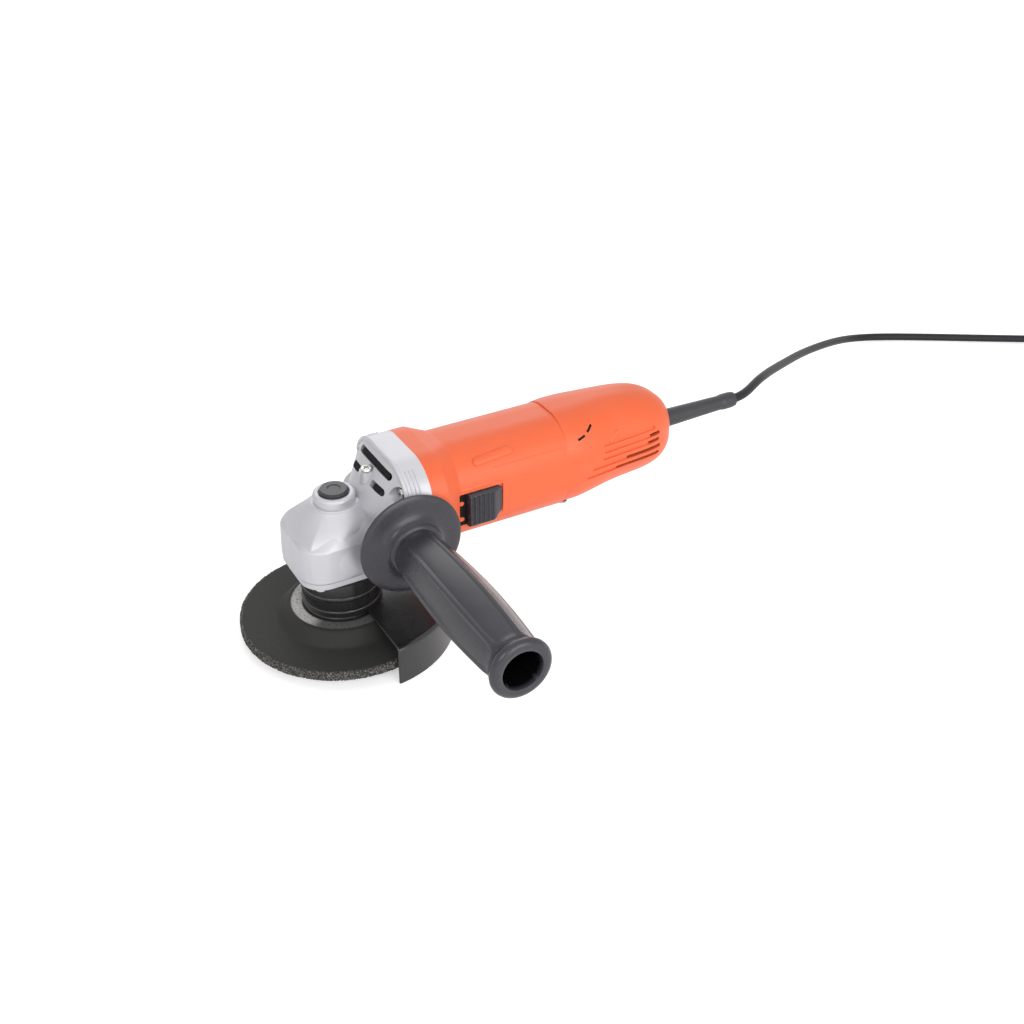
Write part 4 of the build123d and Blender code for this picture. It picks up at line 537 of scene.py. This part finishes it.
# Side handle: dished disc, ring at the root, six-sided swelling grip with ridges, rolled rim, hollow end.
# Root and rim are pairs of distance along the axis and radius.
handleSizes = {
    "x": 28.6, "z": 76.2, "ridgeTurn": 73.0, "gripFrom": 44.9, "gripTo": 165.0, "rows": (51.2, 162.2, 90),
    "stations": ((0.0, 13.0), (0.25, 15.3), (0.5, 16.5), (0.75, 16.0), (1.0, 14.0)),  # half across the flats
    "corner": 1.12, "tube": 1.06, "hexShare": 0.66, "power": 40,  # corner and tube as shares of that half
    "fadeFrom": 50.5, "fadeOver": 5.0, "endAt": 163.5, "endOver": 6.0,
    "panelTurn": 25.0, "panelMiddle": 0.51, "panelHalf": 0.47, "panelBlur": 0.3, "panelDepth": 0.36,
    "ridgeHalf": 0.8, "ridgeHeight": 0.45, "columns": 289,
    "tip": 172.0, "boreR": 11.6, "boreRows": (168.0, 150.0), "boreDepth": 62.0,
    "nub": 1.1, "nubTurn": 6.5, "nubBlur": 2.0,
    "root": [(33, 0), (33, 11.6), (33.4, 12.6), (34.2, 13), (38, 13), (39.5, 13.6), (41, 15), (41.9, 17),
             (42.1, 19), (41.8, 23), (41.2, 27), (40.75, 30.2), (41, 31.2), (41.8, 31.6), (42.7, 31.4),
             (43.3, 30.5), (43.75, 28), (44.3, 24), (45, 20.5), (46.2, 18), (47.6, 16.9), (49.4, 16.5),
             (50.4, 16.2), (50.9, 15.6)],
    "rim": [(163, 14.7), (164.6, 15.3), (165.6, 16.2), (166.6, 17.2), (168, 17.8), (169.3, 17.9),
            (170.6, 17.4), (171.6, 16.2), (172, 14.8), (172, 12.5), (171.7, 11.9), (171, 11.6)],
}


def makeHandle(h):
    # Radius over the distance along the axis and the turn about it. On the grip it is a hexagon's, softened
    # by a circle, with sunk panels inside superellipse outlines and a narrow ridge at each corner.
    turn = np.linspace(0, 2 * np.pi, h["columns"])[None]
    off = np.abs((np.degrees(turn) - h["ridgeTurn"]) % 60 - 30)  # 0 in a panel's middle, 30 at a ridge
    s = np.linspace(*h["rows"])[:, None]
    share = (s - h["gripFrom"]) / (h["gripTo"] - h["gripFrom"])
    at, flats = np.array(h["stations"]).T
    flat = np.polyval(np.polyfit(at, flats, len(at) - 1), share)
    hexagon = flat / np.cos(np.radians(off))
    hexagon = (hexagon ** -h["power"] + (h["corner"] * flat) ** -h["power"]) ** (-1 / h["power"])
    tube = h["tube"] * flat
    shown = soft((s - h["fadeFrom"]) / h["fadeOver"]) * soft((h["endAt"] - s) / h["endOver"])
    outline = (off / h["panelTurn"]) ** 6 + np.abs((share - h["panelMiddle"]) / h["panelHalf"]) ** 12
    panel = soft((1 - outline) / h["panelBlur"])
    ridge = np.exp(-(np.radians(30 - off) * flat / h["ridgeHalf"]) ** 2)
    relief = h["hexShare"] * (hexagon - tube) - h["panelDepth"] * panel + h["ridgeHeight"] * ridge
    grip = tube + shown * relief
    root, rim = np.array(h["root"], float), np.array(h["rim"], float)
    deep = h["tip"] - h["boreDepth"]
    bore = np.array([(y, h["boreR"]) for y in (*h["boreRows"], deep)] + [(deep, 0)])
    nubs = soft((h["nubTurn"] - np.abs(np.degrees(turn) % 90 - 45)) / h["nubBlur"])
    wide = np.ones_like(turn)
    hollow = bore[:, 1:] - h["nub"] * nubs * (bore[:, 1:] > 0)
    radius = np.vstack([root[:, 1:] * wide, grip, rim[:, 1:] * wide, hollow])
    along = np.vstack([root[:, :1], s, rim[:, :1], bore[:, :1]]) * wide
    grid = gridOf(h["x"] + radius * np.cos(turn), -along, h["z"] + radius * np.sin(turn))
    # painted shade: the bore's rows are marked 1, and the material mixes them to near black
    inside = np.vstack([np.zeros((len(root) + len(s) + len(rim), 1)), np.ones((len(bore), 1))]) * wide
    putPiece("ridgedHandle", [grid], "charcoal_plastic", "housing", ["handle_grip"], {"hollow": inside})


makeHandle(handleSizes)
print("handle made")

# Wheel guard: pressed half dish with rounded edges
guardSizes = {"collarR": 23.86, "radius": 67.5, "thick": 1.8, "plateZ": 23.8, "edgeX": 6.0, "corner": 2.6,
              "innerCorner": 0.9, "plateRows": 24, "bendRows": 10, "lipRows": 16, "capRows": 6,
              "columns": 150}


def makeGuard(g):
    # The section (plate, rounded corner, lip) is carried about the spindle. At each radius the sweep stops
    # where it meets the straight front edge, and the edge is closed by a half round.
    def skin(radius, corner, top):  # one skin of the sheet, from the collar to the foot of the lip
        plate = np.linspace(g["collarR"], radius - corner, g["plateRows"])
        bend = np.linspace(0, np.pi / 2, g["bendRows"])
        lip = np.linspace(top - corner, 0, g["lipRows"] + 1)[1:]
        return np.vstack([
            np.column_stack([plate, np.full(len(plate), top)]),
            np.column_stack([radius - corner + corner * np.sin(bend), top - corner + corner * np.cos(bend)]),
            np.column_stack([np.full(len(lip), radius), lip])])
    outer = skin(g["radius"], g["corner"], g["plateZ"] + g["thick"])
    inner = skin(g["radius"] - g["thick"], g["innerCorner"], g["plateZ"])
    loop = np.vstack([outer, inner[::-1]])
    r, z = loop[None, :, 0], loop[None, :, 1]
    half = g["thick"] / 2
    stop = np.arccos((g["edgeX"] + half) / r)
    turn = np.linspace(-1, 1, g["columns"])[:, None] * stop
    sheet = gridOf(r * np.cos(turn), r * np.sin(turn), z)
    beta = np.linspace(0, np.pi / 2, g["capRows"])[1:, None, None]
    caps = []
    for end in (sheet[0], sheet[-1]):
        middle = (end + end[::-1]) / 2
        caps.append(middle + (end - middle) * np.cos(beta) - np.array([half, 0, 0]) * np.sin(beta))
    grid = np.concatenate([caps[0][::-1], sheet, caps[1]])
    grid = np.concatenate([grid, grid[:, :1]], axis=1)
    putPiece("pressedGuard", [grid], "black_steel", "guard", ["wheel_guard"])


makeGuard(guardSizes)

# Rolled bands round the guard's collar, open where its clamp is; each has its level, half width and height
bandSizes = {"radius": 23.8, "clampTurn": 100.0, "open": 14.0, "bands": ((26.6, 1.5, 0.55), (36.0, 1.6, 0.4)),
             "points": 160}


def makeBands(b):  # a bead carried round the spindle at each level
    turn = np.radians(b["clampTurn"] + b["open"] + easedShares(b["points"]) * (360 - 2 * b["open"]))
    outward = np.column_stack([np.cos(turn), np.sin(turn), 0 * turn])
    grids = [bead(b["radius"] * outward + np.array([0, 0, z]), outward, half, high)
             for z, half, high in b["bands"]]
    putPiece("collarBands", grids, "black_steel", "guard")


makeBands(bandSizes)
print("guard made")

# Cross-head screws: one upright between the air outlets, four that hold the gear head to the motor
screwSizes = {
    "vent": {"at": [(21.2, 0, 105.4)], "way": (0, 0, 1),
             "headR": 3.5, "headT": 1.9, "shankR": 1.75, "shank": 7.5},
    "flange": {"at": [(33.5, y, motorZ + z) for y in (-28.0, 28.0) for z in (-19.2, 19.2)], "way": (-1, 0, 0),
               "headR": 3.8, "headT": 5.0, "shankR": 2.0, "shank": 20.0},
}
crossHead = {  # shares of the head's radius and height, but blur in millimetres and turned in radians
    "domeTo": 0.86, "dome": 0.2, "brim": [(0.95, 0.62), (1, 0.45), (1, 0.08), (0.97, 0)],
    "arm": 0.17, "reach": 0.6, "deep": 0.45, "pressedTo": 0.8, "blur": 0.25, "turned": 0.4,
    "rows": 20, "columns": 97,
}


def screwGrid(at, s, c):
    # Turned profile from the domed head to the shank's tip; two crossed bars are pressed into the dome
    turn = np.linspace(0, 2 * np.pi, c["columns"])[None]
    top, brim = np.linspace(0, c["domeTo"], c["rows"])[:, None], np.array(c["brim"])
    r = np.vstack([top, brim[:, :1]]) * s["headR"]
    h = np.vstack([1 - c["dome"] * top ** 2, brim[:, 1:]]) * s["headT"]
    a, b = np.abs(r * np.cos(turn)), np.abs(r * np.sin(turn))
    arm, reach, blur = c["arm"] * s["headR"], c["reach"] * s["headR"], c["blur"]
    press = np.maximum(soft((arm - a) / blur + 0.5) * soft((reach - b) / blur + 0.5),
                       soft((arm - b) / blur + 0.5) * soft((reach - a) / blur + 0.5))
    h = h - c["deep"] * s["headT"] * press * (r < c["pressedTo"] * s["headR"])
    shank = np.array([(s["shankR"], 0), (s["shankR"], -s["shank"]), (0, -s["shank"])])
    r = np.vstack([r, shank[:, :1]]) + 0 * turn
    h = np.vstack([h, shank[:, 1:] + 0 * turn])
    way = np.array(s["way"], float)
    side = np.cross(way, (0, 1, 0))
    up = np.cross(way, side)
    turn = turn + c["turned"]
    return (np.array(at) + h[..., None] * way + (r * np.cos(turn))[..., None] * side
            + (r * np.sin(turn))[..., None] * up)


for node, key in (("vent_screw", "vent"), ("housing_screws", "flange")):
    grids = [screwGrid(at, screwSizes[key], crossHead) for at in screwSizes[key]["at"]]
    putPiece(key + "Screws", grids, "zinc_screws", "housing", [node])
print("screws made")

# Gear head: cast skin with slightly bowed walls, soft corner edges and a rounded shoulder up to the lock's
# boss. The profile is pairs of the plan's share and the level, the collar pairs of radius and level.
headSizes = {
    "middle": -1.25, "front": 29.1, "rear": 28.8, "side": 27.9, "bow": 62.0, "edge": 90.0, "wall": 1.2,
    "roundFrom": 0.95, "roundOver": 0.4, "bossR": 14.6, "drop": 0.2, "dropAbove": 60.0, "columns": 361,
    "profile": [(0.965, 54.0), (0.985, 54.5), (0.997, 55.6), (1, 58), (1, 63), (0.998, 65.5), (0.99, 68.2),
                (0.977, 71), (0.962, 73.6), (0.947, 75.6), (0.925, 77.2), (0.88, 79.5), (0.84, 81.2),
                (0.79, 83.1), (0.735, 85), (0.68, 86.8), (0.63, 88.3), (0.585, 89.6), (0.55, 90.6),
                (0.53, 91.3)],
    "scoop": {"x": 6.0, "z": 78.6, "halfX": 9.0, "halfZ": 2.6, "depth": 1.0, "beyond": 12.0},
    "collar": [(9.0, 96.0), (9.0, 97.0), (9.1, 97.25), (9.4, 97.4), (10.6, 97.4), (11.3, 97.25),
               (11.9, 96.85), (12.3, 96.3), (12.4, 95.8), (9.0, 95.8), (9.0, 96.0)],
    "sharpAngle": 70.0,
}


def makeHeadSkin(h):
    # Plan radius: four walls, each a shallow parabola, joined by a soft least value that leaves a soft edge
    # at each corner. Each level scales that plan, and towards the boss it turns into a circle.
    turn = np.linspace(0, 2 * np.pi, h["columns"])[None]
    reach = []
    for facing, far in ((0, h["rear"]), (90, h["side"]), (180, h["front"]), (270, h["side"])):
        c, s = np.cos(turn - np.radians(facing)), np.sin(turn - np.radians(facing))
        bend = s ** 2 / h["bow"]
        wall = (-c + np.sqrt(np.maximum(c ** 2 + 2 * far * bend, 0))) / np.maximum(bend, 1e-9)
        reach.append(np.where(bend > 1e-6, wall, np.where(c > 0, far, 1e3)))
    plan = sum(r ** -h["edge"] for r in reach) ** (-1 / h["edge"])
    scale, z = np.array(h["profile"]).T[..., None]
    rounding = soft((h["roundFrom"] - scale) / h["roundOver"])
    radius = plan * scale * (1 - rounding) + rounding * h["bossR"] * scale / h["profile"][-1][0]
    x, y = radius * np.cos(turn), radius * np.sin(turn)
    scoop = h["scoop"]  # a shallow hollow on both side walls
    near = np.exp(-((x - scoop["x"]) / scoop["halfX"]) ** 4 - ((z - scoop["z"]) / scoop["halfZ"]) ** 2)
    sunk = 1 - scoop["depth"] * near * (np.abs(y) > scoop["beyond"]) / np.maximum(radius, 1)
    middle = h["middle"] * (1 - rounding)
    outer = gridOf(middle + x * sunk, y * sunk, z)
    keep = 1 - h["wall"] / radius
    inner = gridOf(middle + x * keep, y * keep, z - h["drop"] * (z > h["dropAbove"]))
    grid = np.concatenate([outer, inner[::-1], outer[:1]])
    r, level = np.array(h["collar"]).T[..., None]  # raised collar round the lock button
    collar = gridOf(r * np.cos(turn), r * np.sin(turn), level)
    putPiece("headSkin", [grid, collar], "cast_aluminium", "housing", sharpAngle=h["sharpAngle"])


makeHeadSkin(headSizes)

# Gear head: dark floors as painted shade inside the air outlets, the rolled rim above them and fine ribs beside
# the screws
outletSizes = {"long": 18.8, "longAt": (26.48, 109.4), "shortIn": 9.7, "shortOut": 18.8,
               "shortAt": (20.1, 101.6), "normal": (-0.774, 0, 0.6333), "depth": 1.6, "half": 2.15,
               "high": 0.3, "points": 40}


def makeOutlets(o):  # a flat dark bead across the sloping face, sunk into each outlet as painted shade
    normal = np.array(o["normal"])
    share = easedShares(o["points"])[:, None]
    grids = []
    spans = ((o["longAt"], -o["long"], o["long"]), (o["shortAt"], o["shortIn"], o["shortOut"]),
             (o["shortAt"], -o["shortOut"], -o["shortIn"]))
    for (x, z), start, end in spans:
        base = np.array([x, 0, z]) - normal * o["depth"]
        path = base + np.array([0, 1, 0]) * (start + (end - start) * share)
        grids.append(bead(path, np.tile(normal, (o["points"], 1)), o["half"], o["high"]))
    putPiece("outletShadeFloors", grids, "inner_plastic", "housing")


makeOutlets(outletSizes)
rimSizes = {"halfY": 35.9, "halfZ": 32.1, "corner": 23.1, "x": 31.1, "from": 24.0, "to": 156.0, "half": 1.5,
            "high": 1.5, "ribs": (34.6, 37.0, 39.4), "ribFrom": 22.0, "ribTo": 52.0, "ribHalf": 0.55,
            "ribHigh": 0.6, "ribOut": 0.9, "points": 120}


def makeRim(r):
    # Rolled rim and ribs follow the flange's rounded rectangle
    def arc(x, start, end, out):
        turn = np.radians(start + easedShares(r["points"]) * (end - start))
        radius = boxRadius(turn, r["halfY"] + out, r["halfZ"] + out, r["corner"] + out)
        outward = np.column_stack([0 * turn, -np.cos(turn), np.sin(turn)])
        return roundMotor(np.full(r["points"], x), turn, radius), outward
    grids = [bead(*arc(r["x"], r["from"], r["to"], 0), r["half"], r["high"])]
    for x in r["ribs"]:
        for start, end in ((r["ribFrom"], r["ribTo"]), (180 - r["ribTo"], 180 - r["ribFrom"])):
            grids.append(bead(*arc(x, start, end, r["ribOut"]), r["ribHalf"], r["ribHigh"]))
    putPiece("flangeRim", grids, "cast_aluminium", "housing")


makeRim(rimSizes)
print("gear head dressed")

# Motor housing: raised side panels
panelSizes = {"halfY": 30.0, "halfZ": 30.8, "corner": 25.0, "front": 88.0, "behindSwitch": 97.0,
              "rear": 140.5, "low": -38.0, "high": 38.0, "switchTop": 20.0, "switchFade": 4.0,
              "raise": 0.25, "sink": 0.3, "wall": 0.6, "edge": 3.0, "rows": 90, "columns": 110}


def makePanel(p, far):
    # Offset over the housing's rounded section: a plateau with softly rounded edges, its front edge set back
    # behind the switch on the near side
    degrees = np.linspace(p["low"], p["high"], p["columns"])[None]
    turn = np.radians(degrees)
    front = p["front"]
    if not far:
        front = front + (p["behindSwitch"] - front) * soft((p["switchTop"] - degrees) / p["switchFade"])
    x = front + easedShares(p["rows"])[:, None] * (p["rear"] - front)
    radius = boxRadius(turn, p["halfY"], p["halfZ"], p["corner"])
    fromEdges = (x - front, p["rear"] - x, np.radians(p["high"] - degrees) * p["halfY"],
                 np.radians(degrees - p["low"]) * p["halfY"])
    inside = math.prod(soft(gap / p["edge"]) for gap in fromEdges)
    upper = roundMotor(x, turn, radius + (p["raise"] + p["sink"]) * inside - p["sink"])
    under = roundMotor(x, turn, radius - p["sink"] - p["wall"] + 0 * x)
    grid = closedShell(upper, under)
    return grid * np.array([1, -1, 1]) if far else grid


# Beads on the body's skin, from one (x, turn about the motor) to another: the pill-shaped rib, the ledge over
# the switch, the crease on the rear cover, and two short slots on its shoulder as flat lenses of painted shade
ribSizes = {
    "pill": {"node": "motor_housing", "first": (78, 44), "last": (106, 48), "half": 2.8, "high": 1.5},
    "ledge": {"node": "motor_housing", "first": (67.5, 18.5), "last": (87.5, 19.5), "half": 1.2, "high": 0.35},
    "crease": {"node": "rear_cover", "first": (171, 24.5), "last": (178, 36), "half": 1.2, "high": 0.9},
}
slotSizes = {
    "lower": {"node": "rear_cover", "first": (148.5, 37), "last": (154, 40), "half": 0.85, "high": 0.16},
    "upper": {"node": "rear_cover", "first": (156, 42.5), "last": (160.5, 49.5), "half": 0.85, "high": 0.16},
}


def skinBead(node, first, last, half, high, points):  # a straight bead between two places on a node's skin
    (start, out), (end, _) = onNode(node, *first), onNode(node, *last)
    return bead(start + (end - start) * easedShares(points)[:, None], np.tile(out, (points, 1)), half, high)


panels = [makePanel(panelSizes, False), makePanel(panelSizes, True)]
ribs = [skinBead(**rib, points=60) for rib in ribSizes.values()]
slots = [skinBead(**slot, points=40) for slot in slotSizes.values()]
putPiece("bodyRibs", panels + ribs, "orange_housing", "housing")
putPiece("shoulderSlotShade", slots, "inner_plastic", "housing")
print("body dressed")

# Slide switch: ribbed button, and in front of it a dark strip of painted shade in the pocket, with two catches
switchSizes = {
    "x": 71.0, "length": 23.5, "z": 78.8, "half": 11.15, "floorY": 28.9, "faceY": 33.4, "endRun": 0.9,
    "ribs": 5, "ribFrom": 0.05, "ribbed": 0.66, "ribDepth": 1.1, "ribFade": 0.6, "ribReach": 0.9,
    "ribBlur": 0.06, "slopeFrom": 0.66, "rearRise": 2.0, "rearDrop": 1.6, "rearCut": 4.5, "cutFrom": 0.7,
    "topCut": 1.8, "topFrom": 0.86, "edgePower": 14, "rows": 170, "endRows": 8, "columns": 61,
}


def makeSwitch(s):
    # Section across the slide at each place along it: a box with rounded upper edges. Its height has a steep
    # front, cosine ribs over the first part and a slope behind them. Its lower edge is cut back at the rear.
    x = np.concatenate([np.linspace(0, 0.8, s["endRows"]), np.linspace(0.95, s["length"] - 1.0, s["rows"]),
                        s["length"] - np.linspace(0.9, 0, s["endRows"])])  # rows stand closer at both ends
    share = x / s["length"]

    def behind(start):  # 0 up to that share of the length, 1 at the rear
        return soft((share - start) / (1 - start))
    rise = s["faceY"] - s["floorY"]
    height = rise * np.sqrt(1 - (1 - np.clip(x / s["endRun"], 0, 1)) ** 2)
    height = height - (rise - s["rearRise"]) * behind(s["slopeFrom"])
    height = height - s["rearDrop"] * soft((x - s["length"] + s["endRun"]) / s["endRun"])
    waves = np.clip(share - s["ribFrom"], 0, s["ribbed"]) / s["ribbed"] * s["ribs"]
    ribs = 0.5 - 0.5 * np.cos(2 * np.pi * waves)
    low = -s["half"] + s["rearCut"] * behind(s["cutFrom"])
    high = s["half"] - s["topCut"] * behind(s["topFrom"])
    v = np.linspace(-1, 1, s["columns"])[None]
    edge = (1 - np.abs(v) ** s["edgePower"]) ** (1 / 3)
    groove = s["ribDepth"] * ribs[:, None] * soft((s["ribReach"] - np.abs(v)) / s["ribBlur"])
    y = height[:, None] * edge - groove * soft((x[:, None] - s["endRun"]) / s["ribFade"])
    z = (low + high)[:, None] / 2 + (high - low)[:, None] / 2 * v
    upper = gridOf(s["x"] + x[:, None], -s["floorY"] - y, s["z"] + z)
    under = gridOf(s["x"] + x[:, None], -s["floorY"], s["z"] + z)
    putPiece("slideButton", [closedShell(upper, under)], "charcoal_plastic", "switch", ["switch_button"])


makeSwitch(switchSizes)
pocketShadeSizes = {"x0": 65.7, "x1": 72.0, "y": -28.83, "z0": 68.4, "z1": 90.2, "half": 0.3, "square": 0.2,
              "rows": 30, "columns": 49}
topShadeSizes = {"at": (66.0, -29.35, 90.33), "length": 29.0, "half": 0.55, "high": 0.25, "points": 60}


def makePocketShade(s, topShade):
    # Painted shade in the switch's pocket: a dark strip on its floor in front of the button, a flat section with
    # rounded edges carried upwards, and a narrow dark bead along the pocket's upper wall
    turn = np.linspace(0, 2 * np.pi, s["columns"])[None]
    wide = np.sign(np.cos(turn)) * np.abs(np.cos(turn)) ** s["square"] * (s["x1"] - s["x0"]) / 2
    deep = np.sign(np.sin(turn)) * np.abs(np.sin(turn)) ** s["square"] * s["half"]
    z = np.concatenate([[s["z0"]], np.linspace(s["z0"], s["z1"], s["rows"]), [s["z1"]]])[:, None]
    size = np.concatenate([[0], np.ones(s["rows"]), [0]])[:, None]
    middle = (s["x0"] + s["x1"]) / 2
    floorShade = gridOf(middle + wide * size, s["y"] + s["half"] + deep * size, z)
    share = np.linspace(0, 1, topShade["points"])[:, None]
    path = share * np.array([topShade["length"], 0, 0]) + np.array(topShade["at"])
    upward = np.tile((0.0, 0.0, 1.0), (topShade["points"], 1))
    grids = [floorShade, bead(path, upward, topShade["half"], topShade["high"])]
    putPiece("pocketShade", grids, "inner_plastic", "housing")


makePocketShade(pocketShadeSizes, topShadeSizes)
catchSizes = {"x": 65.9, "y": -28.82, "levels": (72.6, 83.4), "length": 3.6, "half": 1.5, "high": 0.05,
              "points": 30}


def makeCatches(c):
    # Two orange catches of the housing, flat beads flush with the dark strip so that the button passes over them
    share = easedShares(c["points"])[:, None]
    out = np.tile((0.0, -1.0, 0.0), (c["points"], 1))
    paths = [np.array([c["x"], c["y"], z]) + share * np.array([c["length"], 0, 0]) for z in c["levels"]]
    grids = [bead(path, out, c["half"], c["high"]) for path in paths]
    putPiece("pocketCatches", grids, "orange_housing", "housing")


makeCatches(catchSizes)
print("switch made")

# Spring under the lock button, which the real button shortens when pressed; here it is drawn at one length
springSizes = {"wire": 0.8, "turns": 4, "seat": 89.4, "cap": 97.5, "press": 3.3, "points": 240}


def makeSpring(s):  # a bead along a helix that fills the CAD spring's box
    low, high = 1000 * np.array(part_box("lock_spring"))
    turn = np.linspace(0, 2 * np.pi * s["turns"], s["points"])
    outward = np.column_stack([np.cos(turn), np.sin(turn), 0 * turn])
    half = s["wire"] / 2
    path = (high[0] - low[0] - s["wire"]) / 2 * outward
    path[:, 2] = np.linspace(low[2] + half, high[2] - half, s["points"])
    piece = putPiece("lockSpring", [bead(path, outward, half, half)], "steel", "housing", ["lock_spring"])
    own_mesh(piece)


makeSpring(springSizes)
print("spring made")

# Stage: white floor, soft lights, and the camera at the photograph's angle. The lights are in the frame's
# metres.
view = {"position": (-236.9, -637.3, 519.5), "target": (117.66, 0.0, 45.8), "lens": 48.4, "sensor": 36.0}
light = {
    "world": 0.4, "floorHalf": 6.0, "floorLift": 0.48, "farLift": 0.8, "fadeFrom": 0.35, "fadeTo": 1.4,
    "aim": (0.0, 0.05, 0.05),
    "lamps": {  # place, size, watts
        "overhead": ((0.05, 0.1, 1.3), 1.3, 2.5),
        "leftKey": ((-0.9, -0.7, 0.8), 0.5, 4.5),
        "frontFill": ((0.2, -1.3, 0.6), 1.0, 13.0),
        "rearFill": ((0.4, 1.2, 0.7), 1.0, 5.0),
    },
}


def lookAlong(way):  # turn that points -Z along a direction with +Y upright
    x, y, z = np.asarray(way, float) / np.linalg.norm(way)
    return (math.acos(-z), 0.0, math.atan2(-x, y))


def seenWhite(tree):  # 1 for rays from the camera, from gloss and through glass
    ray = addNode(tree, "ShaderNodeLightPath")
    gloss = addNode(tree, "ShaderNodeMath",
                    {0: ray.outputs["Is Camera Ray"], 1: ray.outputs["Is Glossy Ray"]}, operation="MAXIMUM")
    return addNode(tree, "ShaderNodeMath", {0: gloss.outputs[0], 1: ray.outputs["Is Transmission Ray"]},
                   operation="MAXIMUM").outputs[0]


def setStage(view, light):
    scene = bpy.context.scene
    scene.view_settings.view_transform = "Standard"
    world = bpy.data.worlds.new("studio")
    scene.world = world
    world.use_nodes = True
    tree = world.node_tree
    tree.nodes.clear()
    dim = addNode(tree, "ShaderNodeBackground", values={"Color": (1, 1, 1, 1), "Strength": light["world"]})
    white = addNode(tree, "ShaderNodeBackground", values={"Color": (1, 1, 1, 1), "Strength": 1.0})
    both = addNode(tree, "ShaderNodeMixShader", {0: seenWhite(tree), 1: dim.outputs[0], 2: white.outputs[0]})
    addNode(tree, "ShaderNodeOutputWorld", {"Surface": both.outputs[0]})

    far = light["floorHalf"]
    mesh = bpy.data.meshes.new("floor")
    mesh.from_pydata([(-far, -far, 0), (far, -far, 0), (far, far, 0), (-far, far, 0)], [], [(0, 1, 2, 3)])
    floor = bpy.data.objects.new("floor", mesh)
    scene.collection.objects.link(floor)
    material, tree, shader, place = startMaterial("whiteSweep", "#f4f4f4", 0.9)
    reach = addNode(tree, "ShaderNodeVectorMath", {0: place}, operation="LENGTH")  # whiter further out
    fade = addNode(tree, "ShaderNodeMapRange", {"Value": reach.outputs["Value"]},
                   {"From Min": light["fadeFrom"], "From Max": light["fadeTo"],
                    "To Min": light["floorLift"], "To Max": light["farLift"]})
    lift = addNode(tree, "ShaderNodeMath", {0: seenWhite(tree), 1: fade.outputs["Result"]},
                   operation="MULTIPLY")
    shader.inputs["Emission Color"].default_value = (1, 1, 1, 1)
    tree.links.new(lift.outputs[0], shader.inputs["Emission Strength"])
    mesh.materials.append(material)

    for name, (at, size, watts) in light["lamps"].items():
        lamp = bpy.data.lights.new(name, "AREA")
        lamp.size = size
        lamp.energy = watts
        piece = bpy.data.objects.new(name, lamp)
        piece.location = at
        piece.rotation_euler = lookAlong(np.subtract(light["aim"], at))
        scene.collection.objects.link(piece)

    camera = bpy.data.cameras.new("photoCamera")
    camera.lens = view["lens"]
    camera.sensor_width = view["sensor"]
    camera.sensor_fit = "HORIZONTAL"
    eye = bpy.data.objects.new("photoCamera", camera)
    eye.location = toFrame(view["position"])
    eye.rotation_euler = lookAlong(np.subtract(view["target"], view["position"]))
    scene.collection.objects.link(eye)
    scene.camera = eye


setStage(view, light)
print("stage set")
